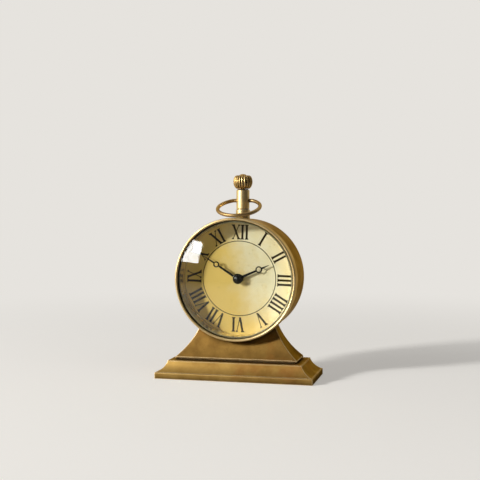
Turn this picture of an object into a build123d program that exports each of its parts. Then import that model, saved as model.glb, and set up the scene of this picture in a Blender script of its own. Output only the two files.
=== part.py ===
from build123d import *
import math
import os

# A pocket-watch desk clock in aged brass: a glazed drum with a bow and a fluted crown, cradled on a
# flared pedestal that stands on a moulded plinth. A small quartz movement turns the hands.
# X is to the right, Y to the back and Z up. The origin is under the middle of the plinth. Lengths are mm.

os.makedirs("parts", exist_ok=True)

# Plinth
SLAB_WIDTH = 83.1
SLAB_DEPTH = 34.0
SLAB_HEIGHT = 3.3
SLAB_EDGE_ROUND = 0.5
COVE_STEP = 0.7
COVE_HEIGHT = 5.4
COVE_SIDE_RUN = 5.35
COVE_FACE_RUN = 3.0
COVE_FULLNESS = 0.48
LEDGE_HEIGHT = 0.6
LEDGE_ROUND = 0.4

# Pedestal
FOOT_HEIGHT = 0.6
FOOT_INSET = 1.4
FLARE_SIDE_SHELF = 3.2
FLARE_FACE_SHELF = 3.5
FLARE_LIP = 0.9
FLARE_LIP_ROUND = 0.3
HORN_HALF_WIDTH = 19.8
HORN_HALF_DEPTH = 4.3
SIDE_SAG = 1.3
FACE_SAG = 1.0

# Drum case, turned about a level axis
CASE_AXIS_HEIGHT = 51.8
CASE_RADIUS = 31.0
CASE_WALL = 1.1
CASE_FRONT_Y = -10.3
CASE_BACK_Y = 18.3
DIAL_LEDGE_THICK = 1.0
DIAL_LEDGE_REACH = 1.0

# Bezel and crystal
BEZEL_WALL = 1.0
BEZEL_LIP_THICK = 0.8
BEZEL_LIP_REACH = 0.6
BEZEL_SKIRT = 4.2
BEZEL_ROUND = 0.65
BEZEL_BEVEL_RUN = 0.75
BEZEL_BEVEL_DROP = 0.55
CRYSTAL_EDGE = 0.7
CRYSTAL_RISE = 6.0
CRYSTAL_THICK = 0.9
FIT_GAP = 0.05

# Dial and its reflector ring
DIAL_FACE_Y = -1.0
PAPER_THICK = 0.2
DIAL_PLATE_THICK = 0.5
DIAL_PLATE_GAP = 0.1
REFLECTOR_WALL = 0.45
DIAL_FOOT_RADIUS = 1.0
DIAL_FOOT_LENGTH = 3.4
DIAL_FOOT_CLEARANCE = 3.0
DIAL_NUT_SIZE = 3.6
DIAL_NUT_THICK = 1.2

# Rear cover
COVER_THICK = 1.2
COVER_ROUND = 0.5
COVER_SPIGOT_LENGTH = 2.6
COVER_SPIGOT_WALL = 1.0
COVER_NOTCH_RADIUS = 5.0
COVER_NOTCH_DEPTH = 0.9

# Pendant neck, crown and bow
NECK_Y = 7.5
NECK_RADIUS = 3.45
NECK_GROOVE_RISE = 5.2
NECK_GROOVE_WIDTH = 0.6
NECK_GROOVE_DEPTH = 0.35
NECK_FOOT_RADIUS = 3.7
NECK_LENGTH = 15.8
NECK_TOP_RADIUS = 2.7
NECK_STUD_RADIUS = 1.5
NECK_STUD_LENGTH = 4.4
NECK_NUT_SIZE = 5.5
NECK_NUT_THICK = 2.0
CROWN_GAP = 0.15
CROWN_RADIUS = 5.1
CROWN_BELLY_RISE = 3.7
CROWN_FOOT_RADIUS = 3.3
CROWN_SHOULDER_RADIUS = 3.85
CROWN_SHOULDER_RISE = 6.95
CROWN_CAP_RADIUS = 1.7
CROWN_CAP_RISE = 0.9
CROWN_RIBS = 20
CROWN_RIB_SHARE = 0.42
CROWN_BANDS = 7
CROWN_ROUNDNESS = 0.93
CROWN_RIB_RELIEF = 0.6
CROWN_STEM_RADIUS = 1.2
CROWN_STEM_LENGTH = 3.8
CROWN_GROOVE_DROP = 1.9
CROWN_GROOVE_WIDTH = 1.1
CROWN_GROOVE_DEPTH = 0.45
GRUB_RADIUS = 0.7
GRUB_TIP_RADIUS = 0.4
BOW_WIRE_RADIUS = 0.95
BOW_MEAN_RADIUS = 11.1
BOW_PIVOT_DROP = 6.1
BOW_PIN_INNER = 1.5
BOW_PIN_OUTER = 4.6
BOW_CORNER_RADIUS = 2.0
BOW_REST_TILT = 21.2

# Quartz movement
MOVEMENT_SIDE = 38.0
MOVEMENT_DEPTH = 10.0
MOVEMENT_WALL = 1.0
MOVEMENT_CORNER = 4.2
FRONT_PLATE_THICK = 1.2
EAR_WIDTH = 6.0
BUSHING_RADIUS = 2.2
BUSHING_STAND_OUT = 0.3
MOVEMENT_SCREW_INSET = 2.6
MOVEMENT_SCREW_RADIUS = 0.7
MOVEMENT_SCREW_HEAD_RADIUS = 1.3
MOVEMENT_SCREW_HEAD = 0.8
MOVEMENT_POST_RADIUS = 1.4

# Wheels of the movement
WHEEL_THICK = 0.6
AXIAL_GAP = 0.3
PIVOT_RADIUS = 0.3
PIVOT_LENGTH = 0.6
PIVOT_GAP = 0.05
BEARING_BOSS_RADIUS = 0.65
ARBOR_RADIUS = 0.4
WHEEL_ADDENDUM = 0.85
WHEEL_DEDENDUM = 1.15
PINION_ADDENDUM = 0.6
PINION_DEDENDUM = 1.2
WHEEL_TOOTH_SHARE = 0.37
PINION_TOOTH_SHARE = 0.32

# Hands and what turns with them
MINUTE_ARBOR_RADIUS = 0.75
MINUTE_ARBOR_STAND_OUT = 0.5
MINUTE_ARBOR_RECESS = 0.4
HOUR_PIPE_WALL = 0.5
HOUR_PIPE_STAND_OUT = 0.1
HAND_THICK = 0.3
HOUR_HAND_CLEARANCE = 2.0
HAND_SPACING = 1.1
MINUTE_HAND_LENGTH = 22.6
MINUTE_RING_CENTRE = 13.7
MINUTE_RING_RADIUS = 1.6
MINUTE_HAND_WIDTH = 0.9
MINUTE_HAND_ANGLE = 302.5
HOUR_HAND_LENGTH = 17.9
HOUR_RING_CENTRE = 12.0
HOUR_RING_RADIUS = 1.8
HOUR_HAND_WIDTH = 1.0
HOUR_HAND_ANGLE = 66.0
RING_WALL = 0.65
HAND_BOSS_RADIUS = 2.2
HUB_RADIUS = 2.7
HUB_HEIGHT = 1.5
SET_KNOB_RADIUS = 4.5
SET_KNOB_GAP = 0.3
SET_KNOB_THICK = 2.5
SET_KNOB_FLUTES = 12
SET_KNOB_FLUTE_RADIUS = 0.7

# Motor, circuit and cell
STATOR_SETBACK = 6.9
STATOR_THICK = 0.6
STATOR_RING_RADIUS = 2.8
STATOR_ARM_WIDTH = 1.6
MAGNET_RADIUS = 1.7
MAGNET_LENGTH = 1.0
MAGNET_AIR_GAP = 0.35
COIL_X = 13.2
COIL_LOW_Z = 3.0
COIL_HIGH_Z = 14.6
COIL_RADIUS = 1.65
COIL_WIRE_RADIUS = 1.4
COIL_TUBE_RADIUS = 1.05
COIL_FLANGE = 0.5
CELL_RADIUS = 5.8
CELL_HEIGHT = 5.4
CELL_WALL_GAP = 0.25
CELL_RECESS = 0.4
CELL_GAP = 0.2
CELL_BAY_WALL = 0.75
CONTACT_THICK = 0.25
BOARD_WIDTH = 17.0
BOARD_HEIGHT = 6.6
BOARD_THICK = 0.8
BOARD_X = -8.0
BOARD_Z = -13.6
CHIP_RADIUS = 2.0
CHIP_HEIGHT = 0.9
CRYSTAL_CAN_RADIUS = 0.75
CRYSTAL_CAN_LENGTH = 6.0

# Fasteners of the stand
STAND_SCREW_RADIUS = 1.5
STAND_SCREW_HEAD_RADIUS = 3.0
STAND_SCREW_OFFSET = 18.0
STAND_SCREW_GRIP = 8.4
SCREW_SLOT_WIDTH = 0.7
SCREW_SLOT_DEPTH = 0.8
CRADLE_SCREW_RADIUS = 1.25
CRADLE_SCREW_HEAD_RADIUS = 2.2
CRADLE_SCREW_HEAD = 1.8
CRADLE_SCREW_LENGTH = 8.0
CRADLE_HEAD_GAP = 0.2
THREAD_GAP = 0.05

# Places worked out from the sizes above
LEDGE_WIDTH = SLAB_WIDTH - 2 * (COVE_STEP + COVE_SIDE_RUN)
LEDGE_DEPTH = SLAB_DEPTH - 2 * (COVE_STEP + COVE_FACE_RUN)
LEDGE_TOP = SLAB_HEIGHT + COVE_HEIGHT + LEDGE_HEIGHT
FLARE_HALF_WIDTH = LEDGE_WIDTH / 2 - FLARE_SIDE_SHELF
FLARE_HALF_DEPTH = LEDGE_DEPTH / 2 - FLARE_FACE_SHELF
FLARE_BOTTOM = LEDGE_TOP + FOOT_HEIGHT
STAND_SCREW_TOP = LEDGE_TOP + STAND_SCREW_GRIP
CASE_BORE = CASE_RADIUS - CASE_WALL
BEZEL_RADIUS = CASE_RADIUS + BEZEL_WALL
BEZEL_OPENING = CASE_RADIUS - BEZEL_LIP_REACH
BEZEL_FRONT_Y = CASE_FRONT_Y - CRYSTAL_EDGE - BEZEL_LIP_THICK
BEZEL_BACK_Y = CASE_FRONT_Y + BEZEL_SKIRT
DIAL_PLATE_Y = DIAL_FACE_Y + PAPER_THICK
DIAL_BACK_Y = DIAL_PLATE_Y + DIAL_PLATE_THICK
DIAL_RADIUS = CASE_BORE - DIAL_PLATE_GAP
CRYSTAL_RADIUS = CASE_RADIUS - DIAL_PLATE_GAP
PLATE_BACK_Y = DIAL_BACK_Y + FRONT_PLATE_THICK
MOVEMENT_BACK_Y = DIAL_BACK_Y + MOVEMENT_DEPTH
CAVITY_BACK_Y = MOVEMENT_BACK_Y - MOVEMENT_WALL
STATOR_Y = DIAL_BACK_Y + STATOR_SETBACK
HOUR_PIPE_BORE = MINUTE_ARBOR_RADIUS + PIVOT_GAP
HOUR_PIPE_RADIUS = HOUR_PIPE_BORE + HOUR_PIPE_WALL
COVER_BACK_Y = CASE_BACK_Y + COVER_THICK
HORN_HEIGHT = CASE_AXIS_HEIGHT - math.sqrt(CASE_RADIUS**2 - HORN_HALF_WIDTH**2)
DIAL_FOOT_OFFSET = MOVEMENT_SIDE / 2 + DIAL_FOOT_CLEARANCE
MOVEMENT_SCREW_OFFSET = MOVEMENT_SIDE / 2 - MOVEMENT_SCREW_INSET
CELL_BAY_RADIUS = CELL_RADIUS + CELL_GAP
CELL_X = MOVEMENT_SIDE / 2 - MOVEMENT_WALL - CELL_WALL_GAP - CELL_BAY_WALL - CELL_BAY_RADIUS
CELL_Z = -CELL_X
HOUR_HAND_Y = DIAL_FACE_Y - HOUR_HAND_CLEARANCE
HOUR_PIPE_FRONT_Y = HOUR_HAND_Y - HOUR_PIPE_STAND_OUT
MINUTE_HAND_Y = HOUR_HAND_Y - HAND_SPACING
MINUTE_ARBOR_FRONT_Y = MINUTE_HAND_Y - MINUTE_ARBOR_STAND_OUT
SET_KNOB_FRONT_Y = MOVEMENT_BACK_Y + SET_KNOB_GAP
SET_KNOB_BACK_Y = SET_KNOB_FRONT_Y + SET_KNOB_THICK
MINUTE_ARBOR_BACK_Y = SET_KNOB_BACK_Y - MINUTE_ARBOR_RECESS
CASE_TOP = CASE_AXIS_HEIGHT + CASE_RADIUS
NECK_GROOVE_HEIGHT = CASE_TOP + NECK_GROOVE_RISE
NECK_TOP = CASE_TOP + NECK_LENGTH
BOW_PIVOT_HEIGHT = NECK_TOP - BOW_PIVOT_DROP
CROWN_STEM_BOTTOM = NECK_TOP - CROWN_STEM_LENGTH
CROWN_GROOVE_HEIGHT = NECK_TOP - CROWN_GROOVE_DROP
CROWN_BOTTOM = NECK_TOP + CROWN_GAP
CROWN_BELLY_HEIGHT = CROWN_BOTTOM + CROWN_BELLY_RISE
CROWN_SHOULDER_HEIGHT = CROWN_BOTTOM + CROWN_SHOULDER_RISE
CROWN_TOP = CROWN_SHOULDER_HEIGHT + CROWN_CAP_RISE
CRADLE_SEAT = CASE_AXIS_HEIGHT - math.sqrt(CASE_BORE**2 - CRADLE_SCREW_HEAD_RADIUS**2) + THREAD_GAP
CRADLE_SCREW_BOTTOM = CRADLE_SEAT - CRADLE_SCREW_LENGTH
CRADLE_SCREW_Y = DIAL_BACK_Y + DIAL_LEDGE_THICK + CRADLE_HEAD_GAP + CRADLE_SCREW_HEAD_RADIUS

# The gear train, seen from the front with the hands' axis at (0, 0): teeth, module and centres
CANNON_LEAVES = 8
MINUTE_WHEEL_TEETH = 24
MINUTE_WHEEL_LEAVES = 8
HOUR_WHEEL_TEETH = 32
MOTION_DISTANCE = 5.76
CANNON_MODULE = 2 * MOTION_DISTANCE / (CANNON_LEAVES + MINUTE_WHEEL_TEETH)
HOUR_MODULE = 2 * MOTION_DISTANCE / (MINUTE_WHEEL_LEAVES + HOUR_WHEEL_TEETH)
TRAIN_LEAVES = 6
CENTRE_TEETH = 45
CENTRE_MODULE = 0.34
THIRD_TEETH = 48
THIRD_MODULE = 0.25
SECONDS_TEETH = 36
SECONDS_MODULE = 0.23
INTERMEDIATE_TEETH = 30
INTERMEDIATE_MODULE = 0.24
MINUTE_WHEEL_DIRECTION = 225.0
THIRD_DIRECTION = 150.0
SECONDS_DIRECTION = 62.0
INTERMEDIATE_DIRECTION = 0.0
ROTOR_DIRECTION = -8.0


def centre_distance(leaves, teeth, module):
    """Distance between a pinion and the wheel it meshes with."""
    return (leaves + teeth) * module / 2


def step_from(start, direction, distance):
    """A point at a distance from another, the direction counted from +X towards +Z."""
    angle = math.radians(direction)
    return (start[0] + distance * math.cos(angle), start[1] + distance * math.sin(angle))


HANDS_AXIS = (0.0, 0.0)
MINUTE_WHEEL_AXIS = step_from(HANDS_AXIS, MINUTE_WHEEL_DIRECTION, MOTION_DISTANCE)
THIRD_AXIS = step_from(
    HANDS_AXIS, THIRD_DIRECTION, centre_distance(TRAIN_LEAVES, CENTRE_TEETH, CENTRE_MODULE)
)
SECONDS_AXIS = step_from(
    THIRD_AXIS, SECONDS_DIRECTION, centre_distance(TRAIN_LEAVES, THIRD_TEETH, THIRD_MODULE)
)
INTERMEDIATE_AXIS = step_from(
    SECONDS_AXIS, INTERMEDIATE_DIRECTION, centre_distance(TRAIN_LEAVES, SECONDS_TEETH, SECONDS_MODULE)
)
ROTOR_AXIS = step_from(
    INTERMEDIATE_AXIS,
    ROTOR_DIRECTION,
    centre_distance(TRAIN_LEAVES, INTERMEDIATE_TEETH, INTERMEDIATE_MODULE),
)


def layer_front(number):
    """Front face of a layer of wheels, counted backwards from the front plate."""
    return PLATE_BACK_Y + AXIAL_GAP + number * (WHEEL_THICK + AXIAL_GAP)


# Helpers for flat and turned pieces

def outline(points):
    """A flat face from a closed run of corners."""
    return make_face(Polyline(*points, close=True).edges())


def eased_corner(radius, y, ease, inward):
    """An outer corner of a turned profile, eased by two turned bevels, from its face to its rim."""
    step = ease * (1 - math.sqrt(0.5))
    return [(radius - ease, y), (radius - step, y + inward * step), (radius, y + inward * ease)]


def turned(face):
    """Revolve a profile drawn as (radius, y) about the drum's axis."""
    return Pos(0, 0, CASE_AXIS_HEIGHT) * revolve(face, Axis.Y)


def turned_ring(inner, outer, front, back):
    """A plain ring or washer on the drum's axis."""
    return turned(outline([(inner, front), (outer, front), (outer, back), (inner, back)]))


def plate(face, front, back):
    """Thicken a face drawn as seen from the front, about the drum's axis."""
    return Pos(0, back, CASE_AXIS_HEIGHT) * Rot(X=90) * extrude(face, back - front)


def disc_at(centre, radius, front, back):
    """A round bar along Y at a place seen from the front."""
    return plate(Pos(centre[0], centre[1]) * Circle(radius), front, back)


def upright_bar(x, y, radius, bottom, top):
    """A round bar along Z."""
    return Pos(x, y, bottom) * extrude(Circle(radius), top - bottom)


def moulding(half_width_side, half_depth_side):
    """A block whose width and depth each follow their own profile, so its corners are mitred."""
    wide = SLAB_WIDTH
    across = Pos(0, wide, 0) * Rot(X=90) * extrude(half_width_side, 2 * wide)
    along = Pos(-wide, 0, 0) * Rot(Z=90) * Rot(X=90) * extrude(half_depth_side, 2 * wide)
    return across & along


def mirrored_face(right_edges, top, bottom):
    """A face that is symmetric about the middle, from its right-hand edges."""
    left_edges = [edge.mirror(Plane.YZ) for edge in right_edges]
    return make_face([*right_edges, *left_edges, top, bottom])


# Plinth and pedestal

def plinth_profile(slab_half, ledge_half):
    """Half of the plinth's section: a slab, a shallow cove and a narrow upright ledge.

    The cove's fullness is its share of the deepest one that neither cuts the slab nor runs under the ledge.
    """
    cove_foot = (slab_half - COVE_STEP, SLAB_HEIGHT)
    cove_top = (ledge_half, SLAB_HEIGHT + COVE_HEIGHT)
    slope = math.atan2(COVE_HEIGHT, cove_foot[0] - cove_top[0])
    chord = math.dist(cove_foot, cove_top)
    sag = COVE_FULLNESS * chord / 2 * math.tan(min(slope, math.pi / 2 - slope) / 2)
    edges = [
        Line((slab_half, 0), (slab_half, SLAB_HEIGHT)),
        Line((slab_half, SLAB_HEIGHT), cove_foot),
        ThreePointArc(cove_foot, hollow_point(cove_foot, cove_top, sag), cove_top),
        Line(cove_top, (ledge_half, LEDGE_TOP)),
    ]
    top = Line((ledge_half, LEDGE_TOP), (-ledge_half, LEDGE_TOP))
    bottom = Line((slab_half, 0), (-slab_half, 0))
    return mirrored_face(edges, top, bottom)


def level_edges(solid, height):
    """The straight edges that lie level at a height."""
    return solid.edges().filter_by(
        lambda edge: abs(edge.center().Z - height) < 0.01 and edge.geom_type == GeomType.LINE
    )


def base_plinth():
    block = moulding(
        plinth_profile(SLAB_WIDTH / 2, LEDGE_WIDTH / 2), plinth_profile(SLAB_DEPTH / 2, LEDGE_DEPTH / 2)
    )
    rim = [edge for edge in level_edges(block, SLAB_HEIGHT) if edge.length > SLAB_DEPTH - 1]
    slab_rim = [
        edge for edge in rim
        if max(abs(edge.center().X) - SLAB_WIDTH / 2, abs(edge.center().Y) - SLAB_DEPTH / 2) > -0.01
    ]
    block = fillet(slab_rim, SLAB_EDGE_ROUND)
    block = fillet(level_edges(block, LEDGE_TOP), LEDGE_ROUND)
    for x in (-STAND_SCREW_OFFSET, STAND_SCREW_OFFSET):
        block -= upright_bar(x, 0, STAND_SCREW_RADIUS + THREAD_GAP, 0, LEDGE_TOP)
        block -= countersunk_head(x, THREAD_GAP)
    return block


def countersunk_head(x, gap):
    """The cone of a screw head that lies flush with the underside."""
    rise = STAND_SCREW_HEAD_RADIUS - STAND_SCREW_RADIUS
    cone = [
        (0, 0),
        (STAND_SCREW_HEAD_RADIUS + gap, 0),
        (STAND_SCREW_RADIUS + gap, rise),
        (0, rise),
    ]
    return Pos(x, 0, 0) * revolve(Rot(X=90) * outline(cone), Axis.Z)


def stand_screws():
    screws = []
    for x in (-STAND_SCREW_OFFSET, STAND_SCREW_OFFSET):
        screw = upright_bar(x, 0, STAND_SCREW_RADIUS, 0, STAND_SCREW_TOP) + countersunk_head(x, 0)
        slot = Box(2 * STAND_SCREW_HEAD_RADIUS, SCREW_SLOT_WIDTH, 2 * SCREW_SLOT_DEPTH)
        screws.append(screw - Pos(x, 0, 0) * slot)
    return Compound(screws)


def pedestal_profile(flare_half, horn_half, sag):
    """Half of the pedestal's section: an inset foot, a thin lip and a hollow flare up to the horns."""
    foot_half = flare_half - FOOT_INSET
    lip_top = FLARE_BOTTOM + FLARE_LIP
    edges = [
        Line((foot_half, LEDGE_TOP), (foot_half, FLARE_BOTTOM)),
        Line((foot_half, FLARE_BOTTOM), (flare_half, FLARE_BOTTOM)),
        Line((flare_half, FLARE_BOTTOM), (flare_half, lip_top)),
        ThreePointArc(
            (flare_half, lip_top), hollow_point((flare_half, lip_top), (horn_half, HORN_HEIGHT), sag),
            (horn_half, HORN_HEIGHT),
        ),
    ]
    top = Line((horn_half, HORN_HEIGHT), (-horn_half, HORN_HEIGHT))
    bottom = Line((foot_half, LEDGE_TOP), (-foot_half, LEDGE_TOP))
    return mirrored_face(edges, top, bottom)


def hollow_point(low, high, sag):
    """The middle of a hollow arc between two points, drawn in by its sag."""
    run = (high[0] - low[0], high[1] - low[1])
    length = math.hypot(*run)
    return ((low[0] + high[0]) / 2 - sag * run[1] / length, (low[1] + high[1]) / 2 + sag * run[0] / length)


def pedestal():
    block = moulding(
        pedestal_profile(FLARE_HALF_WIDTH, HORN_HALF_WIDTH, SIDE_SAG),
        pedestal_profile(FLARE_HALF_DEPTH, HORN_HALF_DEPTH, FACE_SAG),
    )
    lip = [
        edge for edge in level_edges(block, FLARE_BOTTOM)
        if max(abs(edge.center().X) - FLARE_HALF_WIDTH, abs(edge.center().Y) - FLARE_HALF_DEPTH) > -0.01
    ]
    block = fillet(lip, FLARE_LIP_ROUND)
    block -= disc_at(HANDS_AXIS, CASE_RADIUS, -SLAB_DEPTH, SLAB_DEPTH)
    for x in (-STAND_SCREW_OFFSET, STAND_SCREW_OFFSET):
        block -= upright_bar(x, 0, STAND_SCREW_RADIUS + THREAD_GAP, LEDGE_TOP, STAND_SCREW_TOP + THREAD_GAP)
    block -= upright_bar(
        0, CRADLE_SCREW_Y, CRADLE_SCREW_RADIUS + THREAD_GAP, CRADLE_SCREW_BOTTOM - THREAD_GAP,
        CASE_AXIS_HEIGHT,
    )
    return block


def cradle_screw():
    """Screw from inside the drum into the pedestal, with its head just behind the dial's ledge."""
    top = CRADLE_SEAT + CRADLE_SCREW_HEAD
    y = CRADLE_SCREW_Y
    screw = upright_bar(0, y, CRADLE_SCREW_RADIUS, CRADLE_SCREW_BOTTOM, CRADLE_SEAT)
    head = upright_bar(0, y, CRADLE_SCREW_HEAD_RADIUS, CRADLE_SEAT, top)
    slot = Box(2 * CRADLE_SCREW_HEAD_RADIUS, SCREW_SLOT_WIDTH, 2 * SCREW_SLOT_DEPTH)
    return screw + head - Pos(0, y, top) * slot


# Drum case, bezel and dial

def case_body():
    ledge_back = DIAL_BACK_Y + DIAL_LEDGE_THICK
    ledge_bore = CASE_BORE - DIAL_LEDGE_REACH
    tube = turned(outline([
        (CASE_BORE, CASE_FRONT_Y),
        (CASE_RADIUS, CASE_FRONT_Y),
        (CASE_RADIUS, CASE_BACK_Y),
        (CASE_BORE, CASE_BACK_Y),
        (CASE_BORE, ledge_back),
        (ledge_bore, ledge_back),
        (ledge_bore, DIAL_BACK_Y),
        (CASE_BORE, DIAL_BACK_Y),
    ]))
    tube -= upright_bar(0, NECK_Y, NECK_STUD_RADIUS + THREAD_GAP, CASE_AXIS_HEIGHT, CASE_TOP)
    tube -= upright_bar(0, CRADLE_SCREW_Y, CRADLE_SCREW_RADIUS + THREAD_GAP, LEDGE_TOP, CASE_AXIS_HEIGHT)
    return tube


def bezel():
    """Ring that snaps over the tube, with a bevel inside its rim that leads down to the glass."""
    lip_back = CASE_FRONT_Y - CRYSTAL_EDGE
    skirt_bore = CASE_RADIUS + FIT_GAP
    return turned(outline([
        (BEZEL_OPENING, BEZEL_FRONT_Y + BEZEL_BEVEL_DROP),
        (BEZEL_OPENING + BEZEL_BEVEL_RUN, BEZEL_FRONT_Y),
        *eased_corner(BEZEL_RADIUS, BEZEL_FRONT_Y, BEZEL_ROUND, 1),
        (BEZEL_RADIUS, BEZEL_BACK_Y),
        (skirt_bore, BEZEL_BACK_Y),
        (skirt_bore, lip_back),
        (BEZEL_OPENING, lip_back),
    ]))


def crystal():
    """Domed glass with a flat edge, pinched between the bezel's lip and the case."""
    edge_front = CASE_FRONT_Y - CRYSTAL_EDGE
    dome_radius = BEZEL_OPENING - DIAL_PLATE_GAP
    bore = dome_radius - CRYSTAL_THICK
    crown_y = edge_front - CRYSTAL_RISE
    inner_crown_y = crown_y + CRYSTAL_THICK
    outer_mid = arc_middle((dome_radius, edge_front), (0, crown_y))
    inner_mid = arc_middle((bore, CASE_FRONT_Y), (0, inner_crown_y))
    profile = make_face([
        Line((bore, CASE_FRONT_Y), (CRYSTAL_RADIUS, CASE_FRONT_Y)),
        Line((CRYSTAL_RADIUS, CASE_FRONT_Y), (CRYSTAL_RADIUS, edge_front)),
        Line((CRYSTAL_RADIUS, edge_front), (dome_radius, edge_front)),
        ThreePointArc((dome_radius, edge_front), outer_mid, (0, crown_y)),
        Line((0, crown_y), (0, inner_crown_y)),
        ThreePointArc((0, inner_crown_y), inner_mid, (bore, CASE_FRONT_Y)),
    ])
    return turned(profile)


def arc_middle(rim, pole):
    """The middle of a dome's arc from its rim to its pole, where it lies square to the axis."""
    rise = pole[1] - rim[1]
    sphere = (rim[0] ** 2 + rise**2) / (2 * rise)
    half_angle = math.asin(rim[0] / abs(sphere)) / 2
    return (abs(sphere) * math.sin(half_angle), pole[1] - sphere * (1 - math.cos(half_angle)))


def reflector_ring():
    """Bright ring between the dial and the crystal."""
    outer = CASE_BORE - FIT_GAP
    return turned_ring(outer - REFLECTOR_WALL, outer, CASE_FRONT_Y, DIAL_FACE_Y)


def dial_paper():
    return turned_ring(BUSHING_RADIUS + DIAL_PLATE_GAP, DIAL_RADIUS, DIAL_FACE_Y, DIAL_PLATE_Y)


def dial_plate():
    """Brass disc under the paper, with two feet that hold the movement."""
    disc = turned_ring(BUSHING_RADIUS + DIAL_PLATE_GAP, DIAL_RADIUS, DIAL_PLATE_Y, DIAL_BACK_Y)
    for x in (-DIAL_FOOT_OFFSET, DIAL_FOOT_OFFSET):
        disc += disc_at((x, 0), DIAL_FOOT_RADIUS, DIAL_PLATE_Y, DIAL_BACK_Y + DIAL_FOOT_LENGTH)
    return disc


def dial_nuts():
    nuts = []
    for x in (-DIAL_FOOT_OFFSET, DIAL_FOOT_OFFSET):
        hexagon = RegularPolygon(DIAL_NUT_SIZE / 2, 6, major_radius=False)
        face = Pos(x, 0) * (hexagon - Circle(DIAL_FOOT_RADIUS + THREAD_GAP))
        nuts.append(plate(face, PLATE_BACK_Y, PLATE_BACK_Y + DIAL_NUT_THICK))
    return Compound(nuts)


def rear_cover():
    """Push-in lid with a thumb notch in its lower edge."""
    spigot_outer = CASE_BORE - FIT_GAP
    spigot_inner = spigot_outer - COVER_SPIGOT_WALL
    spigot_front = CASE_BACK_Y - COVER_SPIGOT_LENGTH
    profile = outline([
        (0, CASE_BACK_Y),
        (spigot_inner, CASE_BACK_Y),
        (spigot_inner, spigot_front),
        (spigot_outer, spigot_front),
        (spigot_outer, CASE_BACK_Y),
        (CASE_RADIUS, CASE_BACK_Y),
        *reversed(eased_corner(CASE_RADIUS, COVER_BACK_Y, COVER_ROUND, -1)),
        (0, COVER_BACK_Y),
    ])
    notch = disc_at(
        (0, -CASE_RADIUS - COVER_NOTCH_RADIUS + COVER_NOTCH_DEPTH), COVER_NOTCH_RADIUS,
        CASE_BACK_Y, COVER_BACK_Y,
    )
    return turned(profile) - notch


# Pendant neck, crown and bow

def lathe_up(face):
    """Revolve a profile drawn as (radius, height) about the upright axis."""
    return revolve(Rot(X=90) * face, Axis.Z)


def pendant_neck():
    """Tube that seats on the drum: a wider foot, a groove, cross holes for the bow and the crown's bore."""
    foot = CASE_TOP - NECK_FOOT_RADIUS / 2
    profile = outline([
        (0, foot),
        (NECK_FOOT_RADIUS, foot),
        (NECK_FOOT_RADIUS, NECK_GROOVE_HEIGHT - NECK_GROOVE_WIDTH / 2),
        (NECK_RADIUS - NECK_GROOVE_DEPTH, NECK_GROOVE_HEIGHT),
        (NECK_RADIUS, NECK_GROOVE_HEIGHT + NECK_GROOVE_WIDTH / 2),
        (NECK_RADIUS, NECK_TOP - (NECK_RADIUS - NECK_TOP_RADIUS)),
        (NECK_TOP_RADIUS, NECK_TOP),
        (0, NECK_TOP),
    ])
    neck = lathe_up(profile)
    neck -= disc_at(HANDS_AXIS, CASE_RADIUS, -SLAB_DEPTH, SLAB_DEPTH)
    neck += upright_bar(0, 0, NECK_STUD_RADIUS, CASE_TOP - NECK_STUD_LENGTH, CASE_TOP + NECK_STUD_RADIUS)
    cross_hole = Rot(Y=90) * extrude(Circle(BOW_WIRE_RADIUS + FIT_GAP), NECK_FOOT_RADIUS, both=True)
    neck -= Pos(0, 0, BOW_PIVOT_HEIGHT) * cross_hole
    neck -= upright_bar(0, 0, CROWN_STEM_RADIUS + FIT_GAP, CROWN_STEM_BOTTOM - FIT_GAP, NECK_TOP)
    neck -= grub_bar(GRUB_RADIUS + THREAD_GAP, 0, NECK_RADIUS)
    return Pos(0, NECK_Y, 0) * neck


def grub_bar(radius, front, back):
    """A round bar along Y at the height of the crown's groove, its ends counted from the neck's axis."""
    return Pos(0, back, CROWN_GROOVE_HEIGHT) * Rot(X=90) * extrude(Circle(radius), back - front)


def neck_nut():
    top = CASE_AXIS_HEIGHT + math.sqrt(CASE_BORE**2 - (NECK_NUT_SIZE / math.sqrt(3)) ** 2) - THREAD_GAP
    hexagon = RegularPolygon(NECK_NUT_SIZE / 2, 6, major_radius=False)
    return Pos(0, NECK_Y, top - NECK_NUT_THICK) * extrude(
        hexagon - Circle(NECK_STUD_RADIUS + THREAD_GAP), NECK_NUT_THICK
    )


def onion_radius(height):
    """Radius over the ribs at a height: an arc through the crown's foot, belly and shoulder."""
    low = (CROWN_FOOT_RADIUS, CROWN_BOTTOM)
    high = (CROWN_SHOULDER_RADIUS, CROWN_SHOULDER_HEIGHT)
    belly = (CROWN_RADIUS, CROWN_BELLY_HEIGHT)
    end = low if height < belly[1] else high
    span = (height - belly[1]) / (end[1] - belly[1])
    bulge = math.sqrt(1 - (CROWN_ROUNDNESS * span) ** 2) - math.sqrt(1 - CROWN_ROUNDNESS**2)
    full = 1 - math.sqrt(1 - CROWN_ROUNDNESS**2)
    return end[0] + (belly[0] - end[0]) * bulge / full


def ribbed_section(height):
    """A round outline with flat-topped ribs and a groove between each pair."""
    outer = onion_radius(height)
    inner = outer - CROWN_RIB_RELIEF
    half_rib = CROWN_RIB_SHARE * math.pi / CROWN_RIBS
    corners = []
    for i in range(CROWN_RIBS):
        middle = 2 * math.pi * i / CROWN_RIBS
        groove = middle + math.pi / CROWN_RIBS
        corners += [(outer, middle - half_rib), (outer, middle + half_rib), (inner, groove)]
    face = outline([(r * math.cos(a), r * math.sin(a)) for r, a in corners])
    return Pos(0, 0, height) * face


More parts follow.
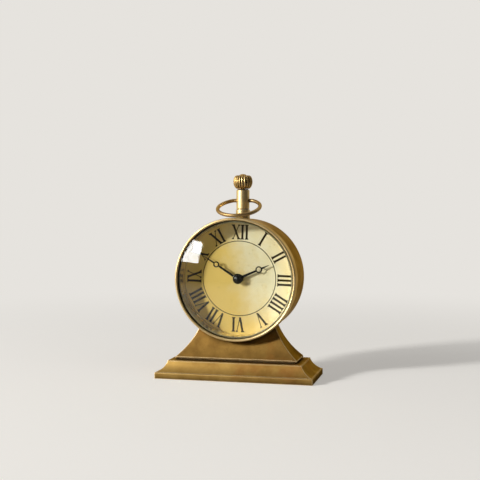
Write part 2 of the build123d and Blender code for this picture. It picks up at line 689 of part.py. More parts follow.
def crown():
    """Onion crown with upright ribs, a smooth cap and a grooved stem."""
    rise = CROWN_SHOULDER_HEIGHT - CROWN_BOTTOM
    heights = [CROWN_BOTTOM + rise * i / CROWN_BANDS for i in range(CROWN_BANDS + 1)]
    body = loft([ribbed_section(height) for height in heights], ruled=True)
    cap_low = (CROWN_CAP_RADIUS, CROWN_SHOULDER_HEIGHT)
    pole = (0, CROWN_TOP)
    cap = make_face([
        Line((0, CROWN_SHOULDER_HEIGHT), cap_low),
        ThreePointArc(cap_low, arc_middle(cap_low, pole), pole),
        Line((0, CROWN_TOP), (0, CROWN_SHOULDER_HEIGHT)),
    ])
    body += lathe_up(cap)
    half_groove = CROWN_GROOVE_WIDTH / 2
    groove_radius = CROWN_STEM_RADIUS - CROWN_GROOVE_DEPTH
    stem = outline([
        (0, CROWN_STEM_BOTTOM),
        (CROWN_STEM_RADIUS, CROWN_STEM_BOTTOM),
        (CROWN_STEM_RADIUS, CROWN_GROOVE_HEIGHT - half_groove),
        (groove_radius, CROWN_GROOVE_HEIGHT - half_groove),
        (groove_radius, CROWN_GROOVE_HEIGHT + half_groove),
        (CROWN_STEM_RADIUS, CROWN_GROOVE_HEIGHT + half_groove),
        (CROWN_STEM_RADIUS, CROWN_BOTTOM),
        (0, CROWN_BOTTOM),
    ])
    return Pos(0, NECK_Y, 0) * (body + lathe_up(stem))


def crown_grub_screw():
    """Set screw behind the neck whose tip runs in the stem's groove."""
    shoulder = CROWN_STEM_RADIUS + FIT_GAP + THREAD_GAP
    tip = CROWN_STEM_RADIUS - CROWN_GROOVE_DEPTH + 2 * THREAD_GAP
    screw = grub_bar(GRUB_RADIUS, shoulder, NECK_RADIUS - THREAD_GAP)
    screw += grub_bar(GRUB_TIP_RADIUS, tip, shoulder)
    return Pos(0, NECK_Y, 0) * screw


def bow():
    """Wire ring whose ends turn in to make the pins of its hinge, drawn flat and then tipped forward."""
    reach = BOW_MEAN_RADIUS - BOW_CORNER_RADIUS
    ring_centre = BOW_CORNER_RADIUS + math.sqrt(reach**2 - BOW_PIN_OUTER**2)
    turn = math.atan2(BOW_CORNER_RADIUS - ring_centre, BOW_PIN_OUTER)
    corner_mid_angle = (turn - math.pi / 2) / 2
    corner = (BOW_PIN_OUTER, BOW_CORNER_RADIUS)
    corner_mid = (
        corner[0] + BOW_CORNER_RADIUS * math.cos(corner_mid_angle),
        corner[1] + BOW_CORNER_RADIUS * math.sin(corner_mid_angle),
    )
    joint = (BOW_MEAN_RADIUS * math.cos(turn), ring_centre + BOW_MEAN_RADIUS * math.sin(turn))
    side = (BOW_MEAN_RADIUS, ring_centre)
    top = (0, ring_centre + BOW_MEAN_RADIUS)
    quarter = BOW_MEAN_RADIUS * math.sqrt(0.5)
    right = [
        Line((BOW_PIN_INNER, 0), (BOW_PIN_OUTER, 0)),
        ThreePointArc((BOW_PIN_OUTER, 0), corner_mid, joint),
        ThreePointArc(joint, (
            BOW_MEAN_RADIUS * math.cos(turn / 2), ring_centre + BOW_MEAN_RADIUS * math.sin(turn / 2)
        ), side),
        ThreePointArc(side, (quarter, ring_centre + quarter), top),
    ]
    section = Plane(origin=(BOW_PIN_INNER, 0, 0), z_dir=(1, 0, 0)) * Circle(BOW_WIRE_RADIUS)
    half = sweep(section, path=Wire([edge.edge() for edge in right]))
    ring = half + half.mirror(Plane.YZ)
    return Pos(0, NECK_Y, BOW_PIVOT_HEIGHT) * Rot(X=180 + BOW_REST_TILT) * ring


# Movement

def gear_outline(teeth, module, turn, addendum, dedendum, share):
    """A toothed outline with straight flanks, one tooth centred on the turn, in degrees."""
    pitch_radius = teeth * module / 2
    root = pitch_radius - dedendum * module
    tip = pitch_radius + addendum * module
    pitch_angle = 2 * math.pi / teeth
    points = []
    for i in range(teeth):
        middle = math.radians(turn) + i * pitch_angle
        for radius, half_share in ((root, share * 0.62), (tip, share * 0.28)):
            half = half_share * pitch_angle * pitch_radius / radius
            points.append((radius, middle - half, middle + half))
    corners = []
    for (r0, a0, b0), (r1, a1, b1) in zip(points[0::2], points[1::2]):
        corners += [(r0, a0), (r1, a1), (r1, b1), (r0, b0)]
    return outline([(r * math.cos(a), r * math.sin(a)) for r, a in corners])


def wheel_face(teeth, module, turn):
    return gear_outline(teeth, module, turn, WHEEL_ADDENDUM, WHEEL_DEDENDUM, WHEEL_TOOTH_SHARE)


def pinion_face(leaves, module):
    return gear_outline(leaves, module, 0.0, PINION_ADDENDUM, PINION_DEDENDUM, PINION_TOOTH_SHARE)


def meshed_turn(pinion_axis, leaves, wheel_axis, teeth):
    """Turn of a wheel that puts its teeth between the leaves of a pinion whose first leaf is on +X."""
    direction = math.degrees(
        math.atan2(wheel_axis[1] - pinion_axis[1], wheel_axis[0] - pinion_axis[0])
    )
    leaf = 360 / leaves
    tooth = 360 / teeth
    fraction = (direction / leaf) % 1
    return direction + 180 + (fraction + 0.5) * tooth


def toothed(axis, face, front, back):
    """A toothed disc set on its arbor."""
    return plate(Pos(axis[0], axis[1]) * face, front, back)


def train_wheel(axis, layer, wheel, pinion):
    """A wheel with its pinion one layer in front, on an arbor with a pivot at each end."""
    front = layer_front(layer - 1)
    middle = layer_front(layer)
    back = middle + WHEEL_THICK
    body = toothed(axis, wheel, middle, back)
    body += toothed(axis, pinion, front, middle)
    body += disc_at(axis, PIVOT_RADIUS, front - AXIAL_GAP - PIVOT_LENGTH, back + AXIAL_GAP + PIVOT_LENGTH)
    return body


def third_wheel():
    turn = meshed_turn(SECONDS_AXIS, TRAIN_LEAVES, THIRD_AXIS, THIRD_TEETH)
    wheel = wheel_face(THIRD_TEETH, THIRD_MODULE, turn)
    return train_wheel(THIRD_AXIS, 3, wheel, pinion_face(TRAIN_LEAVES, CENTRE_MODULE))


def seconds_wheel():
    turn = meshed_turn(INTERMEDIATE_AXIS, TRAIN_LEAVES, SECONDS_AXIS, SECONDS_TEETH)
    wheel = wheel_face(SECONDS_TEETH, SECONDS_MODULE, turn)
    return train_wheel(SECONDS_AXIS, 4, wheel, pinion_face(TRAIN_LEAVES, THIRD_MODULE))


def intermediate_wheel():
    turn = meshed_turn(ROTOR_AXIS, TRAIN_LEAVES, INTERMEDIATE_AXIS, INTERMEDIATE_TEETH)
    wheel = wheel_face(INTERMEDIATE_TEETH, INTERMEDIATE_MODULE, turn)
    return train_wheel(INTERMEDIATE_AXIS, 5, wheel, pinion_face(TRAIN_LEAVES, SECONDS_MODULE))


def rotor_pinion():
    """Pinion of the motor, with the arbor that carries the magnet."""
    front = layer_front(5)
    body = toothed(ROTOR_AXIS, pinion_face(TRAIN_LEAVES, INTERMEDIATE_MODULE), front, front + WHEEL_THICK)
    body += disc_at(ROTOR_AXIS, ARBOR_RADIUS, front, STATOR_Y + MAGNET_LENGTH + AXIAL_GAP)
    body += disc_at(ROTOR_AXIS, PIVOT_RADIUS, front - AXIAL_GAP - PIVOT_LENGTH, rotor_pivot_back())
    return body


def rotor_pivot_back():
    """Back end of the rotor's arbor, inside the bearing in the housing."""
    return STATOR_Y + MAGNET_LENGTH + 2 * AXIAL_GAP + PIVOT_LENGTH


def rotor_magnet():
    ring = Circle(MAGNET_RADIUS) - Circle(ARBOR_RADIUS)
    return plate(Pos(*ROTOR_AXIS) * ring, STATOR_Y, STATOR_Y + MAGNET_LENGTH)


def centre_wheel():
    """Drive wheel that slips on the minute arbor when the hands are set."""
    turn = meshed_turn(THIRD_AXIS, TRAIN_LEAVES, HANDS_AXIS, CENTRE_TEETH)
    face = wheel_face(CENTRE_TEETH, CENTRE_MODULE, turn) - Circle(MINUTE_ARBOR_RADIUS + PIVOT_GAP)
    return plate(face, layer_front(2), layer_front(2) + WHEEL_THICK)


def clutch_washer():
    """Collar that presses the drive wheel against the cannon pinion."""
    back = layer_front(2) + WHEEL_THICK
    ring = Circle(2 * MINUTE_ARBOR_RADIUS) - Circle(MINUTE_ARBOR_RADIUS)
    return plate(ring, back + PIVOT_GAP, back + PIVOT_GAP + WHEEL_THICK)


def minute_arbor():
    """Arbor of the minute hand, with the cannon pinion cut on it."""
    body = disc_at(HANDS_AXIS, MINUTE_ARBOR_RADIUS, MINUTE_ARBOR_FRONT_Y, MINUTE_ARBOR_BACK_Y)
    front = layer_front(1)
    body += toothed(
        HANDS_AXIS, pinion_face(CANNON_LEAVES, CANNON_MODULE), front, layer_front(2) - PIVOT_GAP
    )
    return body


def minute_wheel():
    """Motion-work wheel that turns on a post of the front plate."""
    turn = meshed_turn(HANDS_AXIS, CANNON_LEAVES, MINUTE_WHEEL_AXIS, MINUTE_WHEEL_TEETH)
    body = toothed(
        MINUTE_WHEEL_AXIS, wheel_face(MINUTE_WHEEL_TEETH, CANNON_MODULE, turn),
        layer_front(1), layer_front(1) + WHEEL_THICK,
    )
    body += toothed(
        MINUTE_WHEEL_AXIS, pinion_face(MINUTE_WHEEL_LEAVES, HOUR_MODULE), layer_front(0), layer_front(1)
    )
    return body - disc_at(
        MINUTE_WHEEL_AXIS, PIVOT_RADIUS + PIVOT_GAP, PLATE_BACK_Y, layer_front(1) + WHEEL_THICK
    )


def hour_wheel():
    """Wheel of the hour hand, on a pipe that passes through the dial."""
    turn = meshed_turn(MINUTE_WHEEL_AXIS, MINUTE_WHEEL_LEAVES, HANDS_AXIS, HOUR_WHEEL_TEETH)
    body = plate(
        wheel_face(HOUR_WHEEL_TEETH, HOUR_MODULE, turn), layer_front(0), layer_front(0) + WHEEL_THICK
    )
    body += disc_at(HANDS_AXIS, HOUR_PIPE_RADIUS, HOUR_PIPE_FRONT_Y, layer_front(0))
    return body - disc_at(HANDS_AXIS, HOUR_PIPE_BORE, HOUR_PIPE_FRONT_Y, layer_front(1))


def screw_corners():
    """Two opposite corners of the movement."""
    offset = MOVEMENT_SCREW_OFFSET
    return [(-offset, offset), (offset, -offset)]


def movement_front_plate():
    """Moulded plate behind the dial: ears for the dial's feet, the hand bushing and front bearings."""
    face = RectangleRounded(MOVEMENT_SIDE, MOVEMENT_SIDE, MOVEMENT_CORNER)
    face += SlotCenterToCenter(2 * DIAL_FOOT_OFFSET, EAR_WIDTH)
    for x in (-DIAL_FOOT_OFFSET, DIAL_FOOT_OFFSET):
        face -= Pos(x, 0) * Circle(DIAL_FOOT_RADIUS + THREAD_GAP)
    body = plate(face, DIAL_BACK_Y, PLATE_BACK_Y)
    body += disc_at(HANDS_AXIS, BUSHING_RADIUS, DIAL_FACE_Y - BUSHING_STAND_OUT, DIAL_BACK_Y)
    body -= disc_at(
        HANDS_AXIS, HOUR_PIPE_RADIUS + PIVOT_GAP, DIAL_FACE_Y - BUSHING_STAND_OUT, PLATE_BACK_Y
    )
    bearings = (
        (THIRD_AXIS, layer_front(2)),
        (SECONDS_AXIS, layer_front(3)),
        (INTERMEDIATE_AXIS, layer_front(4)),
        (ROTOR_AXIS, layer_front(5)),
    )
    for axis, pinion_front in bearings:
        mouth = pinion_front - AXIAL_GAP
        if mouth > PLATE_BACK_Y:
            body += disc_at(axis, BEARING_BOSS_RADIUS, PLATE_BACK_Y, mouth)
        body -= disc_at(axis, PIVOT_RADIUS + PIVOT_GAP, mouth - PIVOT_LENGTH - PIVOT_GAP, mouth)
    body += disc_at(MINUTE_WHEEL_AXIS, PIVOT_RADIUS, PLATE_BACK_Y, layer_front(1) + WHEEL_THICK / 2)
    for corner in screw_corners():
        body -= disc_at(corner, MOVEMENT_SCREW_RADIUS + THREAD_GAP, DIAL_BACK_Y, PLATE_BACK_Y)
    return body


def cell_floor_front():
    """Front face of the floor of the cell's bay."""
    cell_front = MOVEMENT_BACK_Y - CELL_RECESS - CELL_HEIGHT
    return cell_front - CONTACT_THICK - CELL_BAY_WALL


def movement_housing():
    """Moulded shell over the wheels: posts for the screws, rear bearings and an open bay for the cell."""
    outside = RectangleRounded(MOVEMENT_SIDE, MOVEMENT_SIDE, MOVEMENT_CORNER)
    inner_side = MOVEMENT_SIDE - 2 * MOVEMENT_WALL
    inside = RectangleRounded(inner_side, inner_side, MOVEMENT_CORNER - MOVEMENT_WALL)
    body = plate(outside, PLATE_BACK_Y, MOVEMENT_BACK_Y) - plate(inside, PLATE_BACK_Y, CAVITY_BACK_Y)
    for corner in screw_corners():
        body += disc_at(corner, MOVEMENT_POST_RADIUS, PLATE_BACK_Y, CAVITY_BACK_Y)
        body -= disc_at(corner, MOVEMENT_SCREW_RADIUS + THREAD_GAP, PLATE_BACK_Y, MOVEMENT_BACK_Y)
    cell = (CELL_X, CELL_Z)
    body += disc_at(cell, CELL_BAY_RADIUS + CELL_BAY_WALL, cell_floor_front(), MOVEMENT_BACK_Y)
    body -= disc_at(cell, CELL_BAY_RADIUS, cell_floor_front() + CELL_BAY_WALL, MOVEMENT_BACK_Y)
    bearings = (
        (THIRD_AXIS, layer_front(3) + WHEEL_THICK),
        (SECONDS_AXIS, layer_front(4) + WHEEL_THICK),
        (INTERMEDIATE_AXIS, layer_front(5) + WHEEL_THICK),
        (ROTOR_AXIS, STATOR_Y + MAGNET_LENGTH + AXIAL_GAP),
    )
    for axis, wheel_back in bearings:
        mouth = wheel_back + AXIAL_GAP
        body += disc_at(axis, BEARING_BOSS_RADIUS, mouth, CAVITY_BACK_Y)
        body -= disc_at(axis, PIVOT_RADIUS + PIVOT_GAP, mouth, mouth + PIVOT_LENGTH + PIVOT_GAP)
    return body - disc_at(HANDS_AXIS, MINUTE_ARBOR_RADIUS + PIVOT_GAP, CAVITY_BACK_Y, MOVEMENT_BACK_Y)


def movement_screws():
    screws = []
    for corner in screw_corners():
        shank = disc_at(corner, MOVEMENT_SCREW_RADIUS, DIAL_BACK_Y + THREAD_GAP, MOVEMENT_BACK_Y)
        head_back = MOVEMENT_BACK_Y + MOVEMENT_SCREW_HEAD
        screws.append(shank + disc_at(corner, MOVEMENT_SCREW_HEAD_RADIUS, MOVEMENT_BACK_Y, head_back))
    return Compound(screws)


def stator():
    """Laminated plate of the motor: a ring round the rotor and a leg that passes through the coil."""
    ring = Pos(*ROTOR_AXIS) * Circle(STATOR_RING_RADIUS)
    arm = STATOR_ARM_WIDTH
    upper_z = COIL_HIGH_Z + arm / 2
    lower_z = COIL_LOW_Z - arm / 2
    left = ROTOR_AXIS[0] - arm / 2
    right = COIL_X + arm / 2
    frame = outline([
        (left, lower_z - arm / 2),
        (right, lower_z - arm / 2),
        (right, upper_z + arm / 2),
        (left, upper_z + arm / 2),
    ])
    window = outline([
        (left + arm, lower_z + arm / 2),
        (right - arm, lower_z + arm / 2),
        (right - arm, upper_z - arm / 2),
        (left + arm, upper_z - arm / 2),
    ])
    bore = Pos(*ROTOR_AXIS) * Circle(MAGNET_RADIUS + MAGNET_AIR_GAP)
    return plate(frame - window + ring - bore, STATOR_Y, STATOR_Y + STATOR_THICK)


def coil_section():
    """The rectangle that the stator's leg fills, with clearance."""
    return Rectangle(STATOR_ARM_WIDTH + 2 * THREAD_GAP, STATOR_THICK + 2 * THREAD_GAP)


def coil_piece(face, low, high):
    """A piece of the coil, drawn across the stator's leg and raised along Z."""
    middle_y = STATOR_Y + STATOR_THICK / 2
    return Pos(COIL_X, middle_y, CASE_AXIS_HEIGHT + low) * extrude(face, high - low)


def coil_bobbin():
    gap = THREAD_GAP
    low = COIL_LOW_Z + gap
    high = COIL_HIGH_Z - gap
    flange = Circle(COIL_RADIUS) - coil_section()
    tube = Circle(COIL_TUBE_RADIUS) - coil_section()
    body = coil_piece(tube, low, high)
    body += coil_piece(flange, low, low + COIL_FLANGE)
    body += coil_piece(flange, high - COIL_FLANGE, high)
    return body


def coil_winding():
    gap = THREAD_GAP + COIL_FLANGE
    ring = Circle(COIL_WIRE_RADIUS) - Circle(COIL_TUBE_RADIUS)
    return coil_piece(ring, COIL_LOW_Z + gap, COIL_HIGH_Z - gap)


def button_cell():
    back = MOVEMENT_BACK_Y - CELL_RECESS
    cell = (CELL_X, CELL_Z)
    cap_radius = CELL_RADIUS * 0.7
    cap_height = CELL_HEIGHT * 0.15
    front = back - CELL_HEIGHT
    body = disc_at(cell, CELL_RADIUS, front + cap_height, back)
    return body + disc_at(cell, cap_radius, front, front + cap_height)


def negative_contact():
    """Flat tongue on the floor of the bay, under the cell's cap."""
    floor_back = cell_floor_front() + CELL_BAY_WALL
    tongue = Pos(CELL_X, CELL_Z) * Rectangle(2 * CELL_RADIUS * 0.6, 3.0)
    return plate(tongue, floor_back, floor_back + CONTACT_THICK)


def positive_contact():
    """Strip that lies across the back of the cell and is held on the housing."""
    strip = Pos(CELL_X - CELL_RADIUS, CELL_Z) * Rectangle(2 * CELL_RADIUS * 0.7, 2.4)
    body = plate(strip, MOVEMENT_BACK_Y, MOVEMENT_BACK_Y + CONTACT_THICK)
    finger = Pos(CELL_X - CELL_RADIUS * 0.65, CELL_Z) * Rectangle(2.4, 2.4)
    return body + plate(finger, MOVEMENT_BACK_Y - CELL_RECESS, MOVEMENT_BACK_Y)


def board_axis():
    return (BOARD_X, BOARD_Z)


def circuit_board():
    board = Pos(*board_axis()) * Rectangle(BOARD_WIDTH, BOARD_HEIGHT)
    return plate(board, CAVITY_BACK_Y - BOARD_THICK, CAVITY_BACK_Y)


def chip_cap():
    """Resin drop over the timing chip."""
    back = CAVITY_BACK_Y - BOARD_THICK
    drop = outline([
        (0, back),
        (CHIP_RADIUS, back),
        (CHIP_RADIUS * 0.6, back - CHIP_HEIGHT),
        (0, back - CHIP_HEIGHT),
    ])
    return Pos(BOARD_X - BOARD_WIDTH / 4, 0, BOARD_Z) * turned(drop)


def quartz_crystal():
    """Metal can of the timing crystal, lying on the board."""
    y = CAVITY_BACK_Y - BOARD_THICK - CRYSTAL_CAN_RADIUS
    can = extrude(Circle(CRYSTAL_CAN_RADIUS), CRYSTAL_CAN_LENGTH)
    start = BOARD_X - BOARD_WIDTH / 4 + CHIP_RADIUS + THREAD_GAP + WHEEL_THICK
    return Pos(start, y, CASE_AXIS_HEIGHT + BOARD_Z) * Rot(Y=90) * can


# Hands

def hand_face(length, ring_centre, ring_radius, width, bore):
    """A hand that points up: a shaft, an open ring and a tapered tip."""
    shaft = outline([
        (-width * 0.75, 0),
        (width * 0.75, 0),
        (width / 2, ring_centre - ring_radius + RING_WALL / 2),
        (-width / 2, ring_centre - ring_radius + RING_WALL / 2),
    ])
    tip = outline([
        (-width / 2, ring_centre + ring_radius - RING_WALL / 2),
        (width / 2, ring_centre + ring_radius - RING_WALL / 2),
        (width * 0.12, length),
        (-width * 0.12, length),
    ])
    ring = Pos(0, ring_centre) * (Circle(ring_radius) - Circle(ring_radius - RING_WALL))
    return shaft + tip + ring + Circle(HAND_BOSS_RADIUS) - Circle(bore)


def minute_hand():
    face = hand_face(
        MINUTE_HAND_LENGTH, MINUTE_RING_CENTRE, MINUTE_RING_RADIUS, MINUTE_HAND_WIDTH, MINUTE_ARBOR_RADIUS
    )
    return plate(Rot(Z=-MINUTE_HAND_ANGLE) * face, MINUTE_HAND_Y, MINUTE_HAND_Y + HAND_THICK)


def hour_hand():
    face = hand_face(
        HOUR_HAND_LENGTH, HOUR_RING_CENTRE, HOUR_RING_RADIUS, HOUR_HAND_WIDTH, HOUR_PIPE_RADIUS
    )
    return plate(Rot(Z=-HOUR_HAND_ANGLE) * face, HOUR_HAND_Y, HOUR_HAND_Y + HAND_THICK)


def hand_hub():
    """Domed cap over the end of the minute arbor."""
    base = MINUTE_HAND_Y
    socket = MINUTE_ARBOR_FRONT_Y - THREAD_GAP
    dome_mid = arc_middle((HUB_RADIUS, base), (0, base - HUB_HEIGHT))
    profile = make_face([
        Line((MINUTE_ARBOR_RADIUS, base), (HUB_RADIUS, base)),
        ThreePointArc((HUB_RADIUS, base), dome_mid, (0, base - HUB_HEIGHT)),
        Line((0, base - HUB_HEIGHT), (0, socket)),
        Line((0, socket), (MINUTE_ARBOR_RADIUS, socket)),
        Line((MINUTE_ARBOR_RADIUS, socket), (MINUTE_ARBOR_RADIUS, base)),
    ])
    return turned(profile)


def set_knob():
    face = Circle(SET_KNOB_RADIUS) - Circle(MINUTE_ARBOR_RADIUS)
    for i in range(SET_KNOB_FLUTES):
        x, z = step_from(HANDS_AXIS, 360 * i / SET_KNOB_FLUTES, SET_KNOB_RADIUS + SET_KNOB_FLUTE_RADIUS / 2)
        face -= Pos(x, z) * Circle(SET_KNOB_FLUTE_RADIUS)
    return plate(face, SET_KNOB_FRONT_Y, SET_KNOB_BACK_Y)


PIECES = [
    base_plinth, pedestal, stand_screws, cradle_screw,
    case_body, bezel, crystal, reflector_ring, dial_paper, dial_plate, dial_nuts, rear_cover,
    pendant_neck, neck_nut, crown, crown_grub_screw, bow,
    movement_front_plate, movement_housing, movement_screws,
    stator, coil_bobbin, coil_winding, rotor_pinion, rotor_magnet,
    intermediate_wheel, seconds_wheel, third_wheel, centre_wheel, clutch_washer,
    minute_arbor, minute_wheel, hour_wheel,
    button_cell, negative_contact, positive_contact, circuit_board, chip_cap, quartz_crystal,
    minute_hand, hour_hand, hand_hub, set_knob,
]

for piece in PIECES:
    export_step(piece(), f"parts/{piece.__name__}.step")
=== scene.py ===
# %% [markdown]
# # A desk clock in aged brass
# This lesson dresses a CAD model of a pocket-watch style desk clock. The CAD part fixes every shape and
# every joint. Here each piece gets the finish of the real thing. Three things are made in mesh: the
# crown, whose round ribs want finer faces than a solid has, the glass, which must bend light smoothly, and
# the print on the dial, which has no thickness worth a solid.

import math

import bmesh
import bpy
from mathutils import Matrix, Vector


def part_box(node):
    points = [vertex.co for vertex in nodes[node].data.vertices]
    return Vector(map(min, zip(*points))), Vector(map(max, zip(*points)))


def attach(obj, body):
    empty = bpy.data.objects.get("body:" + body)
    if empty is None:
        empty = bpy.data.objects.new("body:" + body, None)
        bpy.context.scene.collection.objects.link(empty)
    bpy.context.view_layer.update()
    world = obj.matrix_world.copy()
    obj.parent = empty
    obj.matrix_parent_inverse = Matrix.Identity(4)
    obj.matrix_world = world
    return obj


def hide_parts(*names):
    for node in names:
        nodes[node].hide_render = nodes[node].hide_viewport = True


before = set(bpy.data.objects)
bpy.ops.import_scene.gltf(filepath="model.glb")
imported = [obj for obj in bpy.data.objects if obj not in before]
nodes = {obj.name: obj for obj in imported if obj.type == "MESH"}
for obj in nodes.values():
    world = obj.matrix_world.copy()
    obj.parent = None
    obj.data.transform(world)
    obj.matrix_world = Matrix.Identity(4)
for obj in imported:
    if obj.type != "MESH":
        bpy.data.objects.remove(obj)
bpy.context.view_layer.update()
MM = 0.001

# %% [markdown]
# ## Camera
# A product photo is easier to match when the camera is set first. The corners of the plinth, the rims of
# the drum and the top of the crown were matched to the photo together, and that gave the lens and the
# angle: the clock is seen 14 degrees from its right and a little from above. Blender's lens is the focal
# length in mm on a 36 mm wide sensor.

# %% Camera
FRAME_PIXELS = 480
FOCAL_PIXELS = 956.6
CAMERA_PLACE = Vector((118.0, -486.9, 92.8)) * MM
CAMERA_TURN = math.radians(13.6)
CAMERA_DIP = math.radians(2.39)

camera_data = bpy.data.cameras.new("photo_camera")
camera_data.sensor_width = 36.0
camera_data.lens = FOCAL_PIXELS / FRAME_PIXELS * camera_data.sensor_width
camera_data.clip_start = 0.01
camera_data.clip_end = 20.0
camera = bpy.data.objects.new("photo_camera", camera_data)
bpy.context.scene.collection.objects.link(camera)
camera.location = CAMERA_PLACE
camera.rotation_euler = (math.pi / 2 - CAMERA_DIP, 0.0, CAMERA_TURN)
bpy.context.scene.camera = camera
print("Lens in mm:", round(camera_data.lens, 1))

# %% [markdown]
# ## Colours, scales and nodes
# Artists pick colours in sRGB, the values a screen shows. Shaders work in linear light, so one function
# turns a hex value into that. A second small function adds a shader node, sets its values and plugs its
# inputs in, so that each finish below reads as a short list of steps.

# %% Helpers for materials
def linear(hex_colour):
    """An sRGB hex colour as the linear RGBA that shader sockets take."""
    shares = [int(hex_colour[i:i + 2], 16) / 255 for i in (1, 3, 5)]
    return [s / 12.92 if s <= 0.04045 else ((s + 0.055) / 1.055) ** 2.4 for s in shares] + [1.0]


def per_mm(size):
    """Texture scale of a pattern whose features are about this many millimetres across."""
    return 1.0 / (size * MM)


def add_node(tree, kind, settings=None, links=None):
    """A node with its inputs or properties set, its ramp stops placed and its inputs linked."""
    node = tree.nodes.new(kind)
    for key, value in (settings or {}).items():
        if key == "stops":
            ramp = node.color_ramp.elements
            while len(ramp) < len(value):
                ramp.new(0.5)
            for element, (position, colour) in zip(ramp, value):
                element.position = position
                element.color = colour
        elif isinstance(key, int) or key in node.inputs:
            node.inputs[key].default_value = value
        else:
            setattr(node, key, value)
    for key, socket in (links or {}).items():
        tree.links.new(node.inputs[key], socket)
    return node


def surface_place(tree):
    """The place of each point of the surface, in metres, as patterns and distances take it."""
    return add_node(tree, "ShaderNodeTexCoord").outputs["Object"]


def start_finish(name):
    """An empty material with a Principled shader: the material, its node tree and the shader."""
    material = bpy.data.materials.new(name)
    material.use_nodes = True
    tree = material.node_tree
    tree.nodes.clear()
    shader = add_node(tree, "ShaderNodeBsdfPrincipled")
    add_node(tree, "ShaderNodeOutputMaterial", links={"Surface": shader.outputs["BSDF"]})
    return material, tree, shader


def give_finish(material, *names):
    """Puts a finish on CAD nodes, on the object so that the CAD mesh stays as it is."""
    for name in names:
        slot = nodes[name].material_slots[0]
        slot.link = "OBJECT"
        slot.material = material
    print(material.name, "is on", ", ".join(names))


# %% [markdown]
# ## Aged brass
# The stand and case are brass, cast or turned, once polished and now years old. Four things tell the eye
# so: the metal is not one colour but drifts between yellow and brown in patches about a centimetre wide,
# here and there copper shows through in an orange bloom, dirt and brown oxide stay in the corners that a
# cloth can't reach, and edges that hands touch stay bright.
# Brass could be one metallic colour with one roughness, but that looks like paint. Here the patches come
# from noise. The corners get a dark colour from ambient occlusion: oxide and dirt, and also painted shade,
# which darkens hollows such as the plinth's cove as light would. The edges get a pale colour from the bevel
# node, which finds edges by comparing its softened normal with the true one: wear, and also a painted
# highlight along every edge.

# %% Aged brass
# Sizes of the patterns in mm
PATCH_SIZE, BLOOM_SIZE, SPECK_SIZE = 13, 21, 0.9
SKIN_SIZE = 0.35
DENT_SIZE, DENT_DEPTH = 5.0, 0.05
# Dark colour for corners and hollows: old dirt, and painted shade
OLD_DIRT_AND_SHADE = "#24170A"


